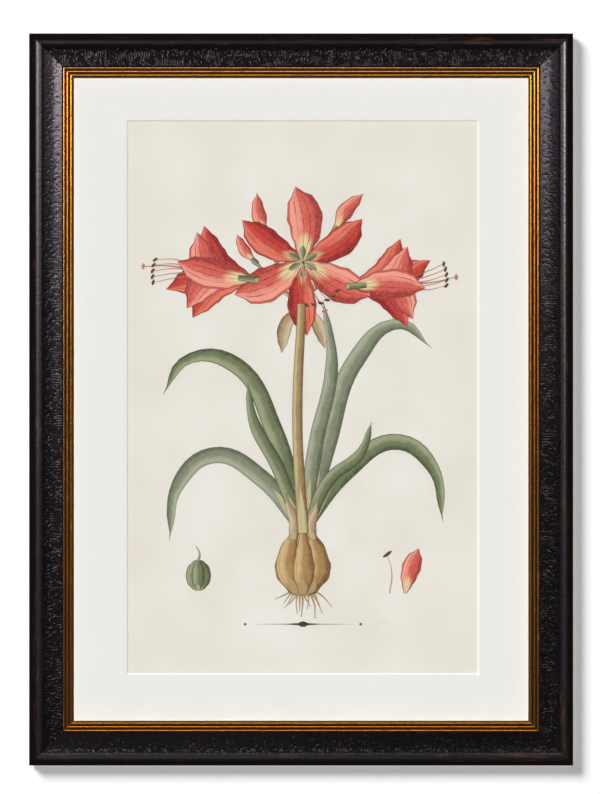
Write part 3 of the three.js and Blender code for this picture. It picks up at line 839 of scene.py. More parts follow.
mount = board("window_mount", MOUNT_LOW, MOUNT_HIGH)
card_size = MOUNT_HIGH - MOUNT_LOW
edit(mount, "FACE")
bpy.ops.mesh.inset(thickness=INSET)
bpy.ops.object.mode_set(mode="OBJECT")
inner = [v for v in mount.data.vertices if abs(v.co.x - CENTRE.x) < (card_size.x - INSET) / 2]
for vert in inner:
    vert.co.x = WINDOW.x + math.copysign(WINDOW_WIDTH / 2 + BEVEL, vert.co.x - CENTRE.x)
    vert.co.z = WINDOW.z + math.copysign(WINDOW_HEIGHT / 2 + BEVEL, vert.co.z - CENTRE.z)
edit(mount, "FACE")
select_where(mount, "faces", lambda place, face: (place - WINDOW).xz.length < INSET)
bpy.ops.mesh.inset(thickness=BEVEL)
bpy.ops.transform.translate(value=(0, card_size.y, 0))
bpy.ops.mesh.delete(type="FACE")
select_where(mount, "edges", lambda place, side: len(side.link_faces) == 1
             and max(abs(place.x - CENTRE.x) / card_size.x, abs(place.z - CENTRE.z) / card_size.z) > 0.49)
bpy.ops.mesh.extrude_region_move(TRANSFORM_OT_translate={"value": (0, card_size.y, 0)})
select_where(mount, "edges", lambda place, side: len(side.link_faces) == 1)
bpy.ops.mesh.bridge_edge_loops()
face_outwards(mount)
print("mount:", [round(side / MM, 2) for side in card_size], "mm,", len(mount.data.polygons), "faces")

# %% [markdown]
# Card, print paper and backing are all felted fibre. One group gives them a fine tooth and a slow
# cloudiness, and each board has its own colours. The bevel is cut through to a whiter core, so it
# takes a second material.

# %% Fibre, shared by card, paper and board
fibre, wires, given, put = group(
    "felted_fibre", {"Place": ("Vector", None), "Fibre size": ("Float", 1.0)},
    {"Clouds": "Float", "Fibres": "Float", "Tooth": "Float"})
fine_place = wires.stretch(given["Place"], wires.join(given["Fibre size"], 1.0, given["Fibre size"]))
crossing = wires.noise(wires.stretch(fine_place, (0.25, 1.0, 1.0)), 1700.0, detail=3.0)
upright = wires.noise(wires.stretch(fine_place, (1.0, 1.0, 0.25)), 1500.0, detail=3.0)
wires.feed(put["Fibres"], wires.math("MAXIMUM", crossing, upright))
wires.feed(put["Tooth"], wires.noise(fine_place, 2600.0, detail=3.0, roughness=0.7))
wires.feed(put["Clouds"], wires.noise(given["Place"], 16.0, detail=5.0, roughness=0.6))
tally(fibre)

# %% Mount card and its white core
mount_card, wires, shader = material("mount_card", Roughness=0.85, IOR=1.3)
felt = place_group(wires, fibre, {"Place": wires.here()})
tone = wires.plus(wires.times(felt["Clouds"], 0.5), wires.times(felt["Fibres"], 0.5))
wires.feed(shader["Base Color"], wires.mix(tone, (0.845, 0.825, 0.802), (0.867, 0.848, 0.827)))
wires.feed(shader["Normal"], wires.bump(felt["Tooth"], 0.04 * MM, 0.5))
mount_core, wires, shader = material("mount_core", Roughness=0.8, IOR=1.3)
felt = place_group(wires, fibre, {"Place": wires.here(), "Fibre size": 0.6})
wires.feed(shader["Base Color"], wires.mix(felt["Fibres"], (0.93, 0.93, 0.90), (0.97, 0.97, 0.955)))
wires.feed(shader["Normal"], wires.bump(felt["Fibres"], 0.05 * MM, 0.6))
give(mount, mount_card, mount_core)
for face in mount.data.polygons:
    face.material_index = 1 if 0.5 < abs(face.normal.y) < 0.9 else 0
belongs(mount, "mount_board")
tally(mount_card)

# %% Print paper
print_paper, wires, shader = material("print_paper", Roughness=0.8, IOR=1.35)
PAPER_TONES = ((0.30, (0.805, 0.748, 0.672)), (0.5, (0.836, 0.792, 0.728)), (0.70, (0.866, 0.832, 0.778)))
here = wires.here()
felt = place_group(wires, fibre, {"Place": here})
foxing = wires.smooth(wires.cells(wires.shift(here, (0.3, 0.0, 0.1)), 34.0), 0.16, 0.02)
foxing = wires.times(foxing, wires.smooth(wires.noise(here, 9.0), 0.50, 0.66))
off_centre = wires.split(wires.stretch(wires.vector("SUBTRACT", here, tuple(WINDOW)), (1.0, 0.0, 1.0)))
rim = wires.math("MAXIMUM", wires.minus(wires.math("ABSOLUTE", off_centre[0]), WINDOW_WIDTH / 2),
                 wires.minus(wires.math("ABSOLUTE", off_centre[2]), WINDOW_HEIGHT / 2))
toned = wires.smooth(wires.plus(rim, wires.times(felt["Clouds"], 0.03)), -0.05, 0.03, 0.0, 0.35)
colour = wires.mix(toned, wires.ramp(felt["Clouds"], PAPER_TONES), (0.805, 0.741, 0.658))
colour = wires.mix(wires.times(foxing, 0.16), colour, (0.62, 0.45, 0.28))
colour = wires.mix(wires.smooth(felt["Fibres"], 0.5, 0.8, 0.0, 0.12), colour, (0.70, 0.64, 0.54))
wires.feed(shader["Base Color"], colour)
wires.feed(shader["Normal"], wires.bump(felt["Tooth"], 0.06 * MM, 0.5))
give(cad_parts["print_sheet"], print_paper)
tally(print_paper)

# %% [markdown]
# ## Glass
# Picture glass is 2 mm float with its sharp edges taken off. Through the middle there is nothing
# to see, so it lets light straight through, and only mirrors a little, more at a slant. Just the
# side that faces the eye mirrors, because light that goes straight through would otherwise meet
# the far side as if it were trapped in the glass, and a slanting view would turn black. The bevel
# modifier takes the edges off, as the glazier's stone does.

# %% Glazing
GLASS_LOW, GLASS_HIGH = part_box("glazing")


def slab(name, low, high, arris):
    """A flat slab between two corners, with its sharp edges taken off."""
    pick()
    bpy.ops.mesh.primitive_cube_add(size=1, location=(Vector(low) + Vector(high)) / 2,
                                    scale=Vector(high) - Vector(low))
    made = bpy.context.object
    made.name = made.data.name = name
    bpy.ops.object.transform_apply(location=True, rotation=True, scale=True)
    modify(made, "BEVEL", width=arris, segments=1, limit_method="NONE")
    return finish_mesh(made, 30)


glazing = slab("picture_glass", GLASS_LOW, GLASS_HIGH, 0.3 * MM)
clear_glass = bpy.data.materials.new("clear_glass")
clear_glass.use_nodes = True
tree = clear_glass.node_tree
tree.nodes.remove(tree.nodes["Principled BSDF"])
wires = Wiring(tree)
smear = wires.noise(wires.here(), 12.0, detail=4.0)
through = wires.node("ShaderNodeBsdfTransparent", {"Color": (0.995, 1.0, 0.997)})
mirror = wires.node("ShaderNodeBsdfAnisotropic",
                    {"Color": (1, 1, 1), "Roughness": wires.blend(smear, 0.02, 0.07)})
fresnel = wires.node("ShaderNodeFresnel", {"IOR": 1.5})
near_side = wires.minus(1.0, wires.node("ShaderNodeNewGeometry").outputs["Backfacing"])
mirrored = wires.times(fresnel.outputs[0], near_side)
pane = wires.node("ShaderNodeMixShader", {0: mirrored, 1: through.outputs[0], 2: mirror.outputs[0]})
tree.links.new(pane.outputs[0], tree.nodes["Material Output"].inputs[0])
give(glazing, clear_glass)
belongs(glazing, "glazing")
print("glass:", [round(side / MM, 1) for side in glazing.dimensions], "mm")

# %% [markdown]
# ## The plate
# The sheet carries a hand-coloured plant study of the kind that old natural-history books are full
# of: a bulb with its roots, strap leaves, and an umbel of coral lilies, with no lettering. Such a
# plate is line first and wash second. So every leaf and petal here is one blade, bent along its
# own line, with a slightly larger dark blade under it that shows as the inked outline. They are
# paper-thin solids, built up a few hundredths of a millimetre apart, which keeps every edge crisp
# however close one looks. A flat picture on the sheet could not do that.

# %% Blade blanks: a narrow grid whose rows are drawn in to an outline
BLADE_ROWS = 28
OUTLINES = {
    "tepal": ((0, 0.16), (0.2, 0.50), (0.45, 0.93), (0.6, 1.0), (0.8, 0.72), (0.93, 0.28), (1, 0.0)),
    "wavy_tepal": ((0, 0.18), (0.18, 0.52), (0.32, 0.80), (0.42, 0.86), (0.58, 1.0), (0.68, 0.90),
                   (0.80, 0.76), (0.93, 0.26), (1, 0.0)),
    "strap": ((0, 0.78), (0.3, 1.0), (0.65, 0.90), (0.88, 0.50), (1, 0.0)),
    "stem": ((0, 1.0), (0.5, 0.86), (1, 0.74)),
    "bud": ((0, 0.30), (0.12, 0.42), (0.45, 1.0), (0.75, 0.72), (1, 0.05)),
    "thread": ((0, 1.0), (1, 0.35)),
    "bulb": ((0, 0.22), (0.05, 0.55), (0.25, 0.95), (0.38, 1.0), (0.6, 0.76), (0.8, 0.38), (1, 0.24)),
    "lens": ((0, 0.0), (0.10, 0.55), (0.33, 0.95), (0.5, 1.0), (0.67, 0.95), (0.90, 0.55), (1, 0.0)),
    "swelled": ((0, 0.05), (0.3, 0.22), (0.5, 1.0), (0.7, 0.22), (1, 0.05)),
}
blanks = {}
for name, outline in OUTLINES.items():
    pick()
    bpy.ops.mesh.primitive_grid_add(x_subdivisions=BLADE_ROWS, y_subdivisions=4, size=1, location=(0.5, 0, 0))
    blank = bpy.context.object
    blank.name = blank.data.name = name
    finish_mesh(blank)
    edit(blank)
    for row in range(BLADE_ROWS + 1):
        at = row / BLADE_ROWS
        before = max(stop for stop in outline if stop[0] <= at)
        after = min(stop for stop in outline if stop[0] >= at)
        share = 0 if after[0] == before[0] else (at - before[0]) / (after[0] - before[0])
        width = before[1] + (after[1] - before[1]) * share * share * (3 - 2 * share)
        select_where(blank, "verts", lambda place, vert: abs(place.x - at) < 0.3 / BLADE_ROWS)
        bpy.ops.transform.resize(value=(1, max(width, 0.01), 1), center_override=(at, 0, 0))
    bpy.ops.object.mode_set(mode="OBJECT")
    blanks[name] = blank
print("blade blanks:", ", ".join(blanks))

# %% Bend a blade along a line on the sheet
LAYER = 0.03 * MM
FILM = 0.010 * MM
PAPER_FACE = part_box("print_sheet")[0].y
INK_LINE = 0.30
laid = []


def lay(blank, points, width, layer, finish, ink=INK_LINE):
    """Bends a blade of this width in mm along the points, its inked outline half a layer below."""
    pick()
    bpy.ops.curve.primitive_bezier_curve_add(location=(0, 0, 0))
    line = bpy.context.object
    line.data.dimensions, line.data.resolution_u = "2D", 24
    spline = line.data.splines[0]
    spline.bezier_points.add(len(points) - 2)
    for knot, (x, z) in zip(spline.bezier_points, points):
        knot.co = (x * MM, z * MM, 0)
        knot.handle_left_type = knot.handle_right_type = "AUTO"
    length = spline.calc_length()
    passes = [(0.0, 0.5, finish)] + ([(ink * MM, 0.0, drawing_ink)] if ink else [])
    for grown, lift, colour in passes:
        blade = copy_of(blanks[blank], "blade")
        blade.scale = (length + 2 * grown, width * MM + 2 * grown, 1)
        blade.location = (-grown, 0, (layer + lift) * LAYER)
        finish_mesh(blade)
        modify(blade, "CURVE", object=line)
        give(blade, colour)
        laid.append(blade)
    bpy.data.objects.remove(line)


def mount_up(name):
    """Joins what has been laid into one piece of thin solids, stood up against the paper."""
    pick(*laid)
    bpy.ops.object.join()
    piece = bpy.context.object
    piece.name = piece.data.name = name
    modify(piece, "SOLIDIFY", thickness=FILM, offset=0)
    piece.rotation_euler = (math.radians(90), 0, 0)
    piece.location = (WINDOW.x, PAPER_FACE - FILM, WINDOW.z)
    finish_mesh(piece)
    belongs(piece)
    laid.clear()
    wide, high = piece.dimensions.x / MM, piece.dimensions.z / MM
    print(f"{name}: {triangles(piece)} triangles, {wide:.0f} x {high:.0f} mm")


def along(start, heading, length):
    """The point a length away from the start, on a heading in degrees from the right."""
    turn = math.radians(heading)
    return (start[0] + length * math.cos(turn), start[1] + length * math.sin(turn))

# %% [markdown]
# The colourist worked with thin washes over the printed line: pale where the light falls, deeper
# along one edge and towards the base, pooled a little unevenly, and finished with fine strokes
# along the veins. One shader group does that for leaf, petal, bulb and root, and reads the
# blade's own UV map, so its strokes follow every bend.

# %% Hand wash, shared by everything coloured on the plate
hand_wash, wires, given, put = group(
    "hand_wash", {"Base": ("Color", (0.5, 0.5, 0.5, 1)), "Pale": ("Color", (0.8, 0.8, 0.8, 1)),
                  "Deep": ("Color", (0.1, 0.1, 0.1, 1)), "Heart": ("Color", (0.8, 0.8, 0.6, 1)),
                  "Heart length": ("Float", 0.2), "Veins": ("Float", 5.0), "Vein strength": ("Float", 0.5)},
    {"Colour": "Color", "Height": "Float"})
here = wires.here()
run, across = wires.split(wires.node("ShaderNodeTexCoord").outputs["UV"])[:2]
pooled = wires.noise(here, 95.0, detail=4.0, roughness=0.6)
fine_wash = wires.noise(here, 420.0, detail=3.0)
from_middle = wires.minus(across, 0.5)
off_middle = wires.times(wires.math("ABSOLUTE", from_middle), 2.0)
unevenness = wires.times(wires.minus(pooled, 0.5), 0.5)
light_side = wires.plus(across, unevenness)
pale = wires.times(wires.smooth(light_side, 0.42, 0.80), wires.smooth(off_middle, 1.0, 0.80))
deep = wires.math("MAXIMUM", wires.smooth(light_side, 0.34, 0.05), wires.smooth(run, 0.30, 0.0, 0.0, 0.75))
brush_way = wires.join(wires.times(run, 3.0), wires.times(across, 22.0))
strokes = wires.noise(brush_way, 1.5, detail=3.0)
vein_way = wires.plus(wires.times(from_middle, given["Veins"]), wires.times(unevenness, 0.4))
vein = wires.math("SINE", wires.times(vein_way, 2 * math.pi))
vein = wires.times(wires.smooth(vein, 0.72, 0.97), wires.smooth(strokes, 0.36, 0.56))
colour = wires.mix(pale, given["Base"], given["Pale"])
colour = wires.mix(wires.times(deep, 0.75), colour, given["Deep"])
rounded_run = wires.minus(run, wires.times(wires.minus(1.0, off_middle), 0.18))
heart = wires.smooth(rounded_run, given["Heart length"], wires.times(given["Heart length"], 0.3))
heart = wires.times(heart, wires.smooth(off_middle, 0.95, 0.5))
colour = wires.mix(heart, colour, given["Heart"])
colour = wires.mix(wires.times(vein, given["Vein strength"]), colour, given["Deep"])
colour = wires.mix(wires.times(wires.smooth(fine_wash, 0.45, 0.70), 0.16), colour, given["Pale"])
wires.feed(put["Colour"], colour)
wires.feed(put["Height"], wires.plus(wires.noise(here, 2600.0, detail=2.0), wires.times(vein, -0.5)))
tally(hand_wash)

# %% Washes and ink
WASHES = {  # base, pale, deep, heart, heart length, veins, vein strength
    "coral_wash": ((0.66, 0.115, 0.085), (0.88, 0.36, 0.27), (0.29, 0.016, 0.020),
                   (0.80, 0.66, 0.36), 0.26, 5.0, 0.75),
    "scarlet_wash": ((0.55, 0.050, 0.035), (0.78, 0.20, 0.13), (0.19, 0.008, 0.012),
                     (0.70, 0.42, 0.22), 0.16, 5.0, 0.70),
    "green_wash": ((0.170, 0.200, 0.095), (0.36, 0.38, 0.23), (0.045, 0.062, 0.030),
                   (0.50, 0.43, 0.22), 0.05, 7.0, 0.55),
    "grey_green_wash": ((0.235, 0.255, 0.165), (0.43, 0.44, 0.32), (0.085, 0.100, 0.062),
                        (0.55, 0.49, 0.28), 0.05, 6.0, 0.5),
    "stalk_wash": ((0.36, 0.250, 0.105), (0.58, 0.48, 0.26), (0.16, 0.060, 0.030),
                   (0.60, 0.52, 0.28), 0.05, 3.0, 0.45),
    "bulb_wash": ((0.42, 0.235, 0.085), (0.66, 0.47, 0.24), (0.13, 0.052, 0.020),
                  (0.50, 0.34, 0.16), 0.04, 9.0, 0.7),
    "dry_wash": ((0.47, 0.33, 0.18), (0.66, 0.54, 0.36), (0.20, 0.10, 0.045),
                 (0.55, 0.42, 0.24), 0.06, 6.0, 0.5),
    "pollen_wash": ((0.07, 0.030, 0.014), (0.34, 0.17, 0.04), (0.010, 0.006, 0.005),
                    (0.08, 0.03, 0.01), 0.01, 2.0, 0.3),
}
WASH_INPUTS = ("Base", "Pale", "Deep", "Heart", "Heart length", "Veins", "Vein strength")
wash = {}
for name, values in WASHES.items():
    wash[name], wires, shader = material(name, Roughness=0.75, IOR=1.35)
    brushed = place_group(wires, hand_wash, dict(zip(WASH_INPUTS, values)))
    wires.feed(shader["Base Color"], brushed["Colour"])
    wires.feed(shader["Normal"], wires.bump(brushed["Height"], 0.03 * MM, 0.4))
drawing_ink, wires, shader = material("drawing_ink", Roughness=0.7, IOR=1.35)
dry = wires.noise(wires.here(), 900.0, detail=3.0)
ink_tone = wires.mix(wires.smooth(dry, 0.45, 0.72), (0.040, 0.024, 0.018), (0.16, 0.095, 0.060))
wires.feed(shader["Base Color"], ink_tone)
wires.feed(shader["Normal"], wires.bump(dry, 0.02 * MM, 0.4))
print("washes:", ", ".join(wash))

# %% [markdown]
# The leaves are laid first, the far ones lowest, then the scape, so that each hides the base of
# the last as the plant does. Every line is three to five points, and the curve runs smoothly
# through them.

# %% Leaves
LEAVES = (  # width, wash, then the points from the foot to the tip
    (17, "grey_green_wash", ((3, -116), (22, -40), (48, 34), (86, 66), (116, 44))),
    (16, "green_wash", ((-3, -116), (-26, -30), (-62, 30), (-104, 34), (-126, 2))),
    (15, "green_wash", ((2, -116), (40, -66), (84, -40), (116, -62), (126, -112))),
    (15, "grey_green_wash", ((-2, -116), (-38, -72), (-80, -52), (-112, -78), (-120, -128))),
    (13, "grey_green_wash", ((1, -116), (12, -40), (26, 30), (18, 88))),
    (12, "green_wash", ((-3, -116), (-22, -64), (-44, -22), (-50, 14))),
    (11, "green_wash", ((4, -116), (24, -74), (52, -50), (62, -22))),
)
for number, (width, tone, line) in enumerate(LEAVES):
    lay("strap", line, width, 1 + 1.6 * number, wash[tone])
mount_up("drawn_leaves")

# %% Bulb, roots and scape
ROOTS, ROOT_FAN, FIRST_ROOT, BULB_FOOT = 13, 124, -152, -172
random.seed(7)
for number in range(ROOTS):
    heading = FIRST_ROOT + ROOT_FAN * number / (ROOTS - 1)
    start = (0.9 * (number - ROOTS // 2), BULB_FOOT)
    reach = random.uniform(16, 30)
    bend = along(start, heading, 0.5 * reach)
    tip = along(bend, heading + random.uniform(-28, 28) + 0.25 * (-90 - heading), 0.55 * reach)
    width = random.uniform(1.5, 2.3)
    lay("thread", (start, bend, tip), width, 1 + 0.6 * (number % 3), wash["dry_wash"], ink=0.22)
lay("bulb", ((0, -178), (0, -146), (0, -108)), 50, 4, wash["bulb_wash"])
SCALES = (  # width, then foot, belly and neck
    (21, ((-6, -176), (-14, -150), (-4, -112))),
    (20, ((6, -176), (14, -150), (4, -112))),
    (19, ((0, -177), (1, -150), (0, -114))),
)
for number, (width, line) in enumerate(SCALES):
    lay("bulb", line, width, 6 + 1.4 * number, wash["bulb_wash"], ink=0.24)
lay("strap", ((-9, -128), (-8, -112), (-15, -92)), 9, 11, wash["dry_wash"], ink=0.24)
lay("strap", ((9, -128), (8, -114), (13, -98)), 8, 12, wash["dry_wash"], ink=0.24)
mount_up("drawn_bulb")
lay("stem", ((0, -122), (-5, -20), (-1, 84)), 10, 13, wash["stalk_wash"])
mount_up("drawn_scape")

# %% [markdown]
# A lily has six tepals in two rings of three, wider ones in front. Seen full face they stand out
# evenly all round; seen from the side they leave one point and curl back at the tips. Both are
# the same few lines of code with other angles. Stamens spring from the throat last of all.

# %% Flowers
HUB = (-1, 84)
FINE_INK = 0.16
BROAD_TEPAL = 20


def tepal(start, heading, length, width, bend, layer, finish):
    """A tepal that leaves on one heading and curls away by the bend."""
    middle = along(start, heading - 0.20 * bend, 0.55 * length)
    tip = along(middle, heading + bend, 0.48 * length)
    blank = "wavy_tepal" if width > BROAD_TEPAL else "tepal"
    lay(blank, (start, middle, tip), width, layer, finish)


def stamens(throat, heading, spread, length, layer, count):
    """Threads in a fan, an anther across the end of each, and among them the style."""
    for number in range(count):
        way = heading + spread * (number / (count - 1) - 0.5)
        middle = along(throat, way, 0.6 * length)
        end = along(middle, heading + 0.35 * (way - heading) + 14, 0.42 * length)
        anther = (along(end, way + 62, -2.6), end, along(end, way + 62, 2.6))
        lay("thread", (throat, middle, end), 0.9, layer, wash["coral_wash"], ink=FINE_INK)
        lay("lens", anther, 2.2, layer + 1, wash["pollen_wash"], ink=FINE_INK)
    middle = along(throat, heading - 3, 0.7 * length)
    far = along(middle, heading + 9, 0.48 * length)
    lay("thread", (throat, middle, far), 1.2, layer, wash["scarlet_wash"], ink=FINE_INK)
    for turn in (-55, 0, 55):
        stigma = (far, along(far, heading + turn, 3.2))
        lay("lens", stigma, 1.3, layer + 1, wash["coral_wash"], ink=FINE_INK)


FAR_TEPALS = ((46, 34, 0.86), (-44, -36, 0.88), (14, 16, 1.0))  # turn, bend, share of the size
NEAR_TEPALS = ((27, 42, 0.90), (-26, -46, 0.93), (-3, -10, 0.88))


def side_flower(base, heading, size, name):
    """A flower seen from the side: far tepals, then near ones over them, on its own stalk."""
    def three(tepals, slender, layer, tone):
        for number, (turn, bend, share) in enumerate(tepals):
            tepal(base, heading + turn * 0.62, size * share, size * slender, bend, layer + 1.3 * number,
                  wash[tone])

    lay("stem", (HUB, along(HUB, heading * 0.5 + 45, 22), base), 4.4, 8, wash["stalk_wash"])
    three(FAR_TEPALS, 0.33, 10, "scarlet_wash")
    stamens(along(base, heading, size * 0.55), heading, 34, size * 0.62, 14.2, 5)
    three(NEAR_TEPALS, 0.36, 17, "coral_wash")
    throat = (along(base, heading + 180, 6), base, along(base, heading, 12))
    lay("stem", throat, 6.0, 21.4, wash["green_wash"])
    mount_up(name)


side_flower((-46, 106), 172, 76, "drawn_flower_left")
side_flower((45, 100), 4, 72, "drawn_flower_right")
FACE = (0, 122)
FACE_BENDS = (16, -12, 9)
for first, width, length, layer, tone in ((30, 26, 63, 9, "scarlet_wash"), (90, 32, 65, 14, "coral_wash")):
    for number, bend in enumerate(FACE_BENDS):
        heading = first + 120 * number
        tepal(along(FACE, heading, 1.5), heading, length, width, bend, layer + 1.3 * number, wash[tone])
for heading in range(30, 360, 60):
    star = (along(FACE, heading, 1), along(FACE, heading, 15))
    lay("tepal", star, 5.5, 18.6, wash["green_wash"], ink=0)
stamens(FACE, -68, 62, 40, 20, 6)
mount_up("drawn_flower_face")

# %% Buds, spathe, and two details drawn apart
BUDS = ((117, 70, 38, 13), (66, 72, 42, 14), (138, 56, 30, 10))  # heading, reach, length, width
for number, (heading, reach, length, width) in enumerate(BUDS):
    foot = along(HUB, heading, reach)
    bud = (foot, along(foot, heading - 6, 0.5 * length), along(foot, heading - 14, length))
    cup = (along(foot, heading, -4), foot, along(foot, heading, 5))
    lay("stem", (HUB, along(HUB, heading + 6, 0.5 * reach), foot), 3.6, 1 + number, wash["stalk_wash"])
    lay("bud", bud, width, 4 + number, wash["coral_wash"])
    lay("lens", cup, 5.0, 7 + number, wash["green_wash"], ink=0.24)
lay("tepal", (HUB, (-15, 66), (-19, 40)), 12, 7, wash["dry_wash"])
lay("tepal", (HUB, (12, 68), (20, 44)), 11, 7, wash["dry_wash"])
mount_up("drawn_buds")
lay("wavy_tepal", ((92, -176), (96, -158), (104, -136)), 17, 1, wash["coral_wash"])
lay("thread", ((78, -176), (80, -158), (76, -142)), 1.0, 1, wash["coral_wash"], ink=0.18)
lay("lens", ((72, -144), (76, -141), (80, -138)), 2.6, 2.4, wash["pollen_wash"], ink=0.18)
POD = -94
for number, lean in enumerate((-5.5, 5.5, 0)):
    lobe = ((POD + 0.3 * lean, -174), (POD + lean, -160), (POD + 0.2 * lean, -146))
    lay("lens", lobe, 11, 1 + 1.3 * number, wash["green_wash"])
lay("thread", ((POD, -147), (POD + 1, -140), (POD - 2, -134)), 2.0, 5, wash["stalk_wash"], ink=0.2)
mount_up("drawn_details")

# %% A swelled rule closes the plate
RULE, RULE_HALF, KNOT_HALF = -204, 46, 4.5
lay("swelled", ((-RULE_HALF, RULE), (0, RULE), (RULE_HALF, RULE)), 2.2, 1, drawing_ink, ink=0)
lay("lens", ((-KNOT_HALF, RULE), (0, RULE), (KNOT_HALF, RULE)), 5.0, 1.7, drawing_ink, ink=0)
for side in (-1, 1):
    lay("lens", ((side * 52 - 1.2, RULE), (side * 52 + 1.2, RULE)), 2.4, 1, drawing_ink, ink=0)
mount_up("drawn_rule")
for blank in blanks.values():
    bpy.data.objects.remove(blank)

# %% [markdown]
# ## The back
# From behind one sees how the frame was put together: a hardboard panel held in its rebate by
# flat steel tabs, the mitres pinned across with thin V nails, a strap hanger with a swinging ring
# screwed to each upright, and two rubber bumpers that keep the bottom edge off the wall. The panel
# is a slab with its saw-cut edges eased. Its fibres are short and lie every way, so it shares the
# felted group with the card, only coarser.

# %% Backing panel
PANEL_LOW, PANEL_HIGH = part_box("backing_board")
backing = slab("backing_panel", PANEL_LOW, PANEL_HIGH, 0.35 * MM)
hardboard, wires, shader = material("hardboard", IOR=1.4)
here = wires.here()
felt = place_group(wires, fibre, {"Place": here, "Fibre size": 0.45})
chips = wires.smooth(wires.cells(wires.stretch(here, (1.0, 1.0, 2.2)), 420.0), 0.24, 0.10)
PANEL_TONES = ((0.3, (0.215, 0.115, 0.050)), (0.5, (0.262, 0.147, 0.068)), (0.7, (0.305, 0.180, 0.088)))
colour = wires.ramp(felt["Clouds"], PANEL_TONES)
colour = wires.mix(wires.smooth(felt["Fibres"], 0.48, 0.75, 0.0, 0.6), colour, (0.40, 0.26, 0.14))
colour = wires.mix(wires.times(chips, 0.45), colour, (0.12, 0.060, 0.026))
rubbed = wires.smooth(wires.noise(here, 22.0, detail=6.0, roughness=0.7), 0.54, 0.68)
colour = wires.mix(wires.times(rubbed, 0.25), colour, (0.42, 0.30, 0.18))
wires.feed(shader["Base Color"], colour)
wires.feed(shader["Roughness"], wires.blend(rubbed, 0.55, 0.75))
wires.feed(shader["Normal"], wires.bump(wires.minus(felt["Tooth"], chips), 0.10 * MM, 0.5))
give(backing, hardboard)
belongs(backing, "backing_board")
print("backing:", [round(side / MM, 1) for side in backing.dimensions], "mm")

# %% [markdown]
# Fittings are stamped, bent or turned from metal, so most of them begin as one line: the edge of
# a strip or half the outline of a screw. A line is drawn by extruding a single point from place
# to place, and then drawn out sideways or spun. Zinc and nickel both get the same fine scratches
# and dull patches, with their own colours.

# %% Draw a line by extruding a point
def drawn_line(name, points):
    """An open chain of edges through (x, y, z) places in millimetres."""
    pick()
    bpy.ops.mesh.primitive_plane_add(size=MM, location=(0, 0, 0))
    line = bpy.context.object
    line.name = line.data.name = name
    edit(line)
    bpy.ops.mesh.merge(type="CENTER")
    bpy.ops.transform.translate(value=Vector(points[0]) * MM)
    for before, after in zip(points, points[1:]):
        step = (Vector(after) - Vector(before)) * MM
        bpy.ops.mesh.extrude_region_move(TRANSFORM_OT_translate={"value": step})
    bpy.ops.object.mode_set(mode="OBJECT")
    return line


def arc(centre, radius, start, end, steps):
    """Places along an arc in the XY plane, in millimetres and degrees."""
    turns = [math.radians(start + (end - start) * step / steps) for step in range(steps + 1)]
    return [(centre[0] + radius * math.cos(turn), centre[1] + radius * math.sin(turn), 0) for turn in turns]


def turned(line, centre, steps):
    """Spins half an outline once round an axis along Y, and closes it."""
    edit(line)
    bpy.ops.mesh.spin(steps=steps, angle=math.radians(360), center=centre, axis=(0, 1, 0))
    bpy.ops.mesh.select_all(action="SELECT")
    bpy.ops.mesh.remove_doubles(threshold=0.01 * MM)
    face_outwards(line)
    return line


def settle(piece, body, node, smooth=32):
    """Puts a fitting's place in its mesh, smooths it, and says where it belongs."""
    finish_mesh(piece, smooth)
    belongs(piece, node, body)

# %% Metal and rubber
scratched, wires, given, put = group("scratched_metal", {"Scale": ("Float", 1.0)},
                                     {"Dull": "Float", "Height": "Float"})
here = wires.here()
lines = wires.noise(wires.stretch(here, (0.08, 1.0, 1.0)), 2600.0, detail=3.0, roughness=0.7)
patches = wires.noise(here, wires.times(given["Scale"], 240.0), detail=4.0, roughness=0.65)
wires.feed(put["Dull"], wires.smooth(patches, 0.42, 0.66))
wires.feed(put["Height"], wires.plus(lines, wires.times(patches, 0.4)))
METALS = {  # bright, dulled, roughness where bright, roughness where dull, size of the patches
    "nickel_plate": ((0.66, 0.64, 0.60), (0.44, 0.41, 0.37), 0.22, 0.42, 1.0),
    "spring_steel": ((0.48, 0.47, 0.46), (0.22, 0.20, 0.18), 0.34, 0.58, 0.6),
}
metal = {}
for name, (bright, dulled, polish, matt, size) in METALS.items():
    metal[name], wires, shader = material(name, Metallic=1.0)
    wear = place_group(wires, scratched, {"Scale": size})
    wires.feed(shader["Base Color"], wires.mix(wear["Dull"], bright, dulled))
    wires.feed(shader["Roughness"], wires.blend(wear["Dull"], polish, matt))
    wires.feed(shader["Normal"], wires.bump(wear["Height"], 0.03 * MM, 0.5))
rubber, wires, shader = material("rubber", IOR=1.5)
here = wires.here()
dusty = wires.smooth(wires.noise(here, 600.0, detail=4.0), 0.45, 0.75)
wires.feed(shader["Base Color"], wires.mix(dusty, (0.030, 0.028, 0.027), (0.095, 0.085, 0.075)))
wires.feed(shader["Roughness"], wires.blend(dusty, 0.45, 0.75))
wires.feed(shader["Normal"], wires.bump(wires.noise(here, 2400.0, detail=3.0), 0.05 * MM, 0.4))
tally(scratched)
print("metals:", ", ".join(metal))

# %% [markdown]
# A tab is a steel lozenge shot into the rebate wall, with the corners of its free end cut off and
# a rib pressed down its middle to stiffen it. One is made lying flat, and fourteen copies go to
# their measured places.

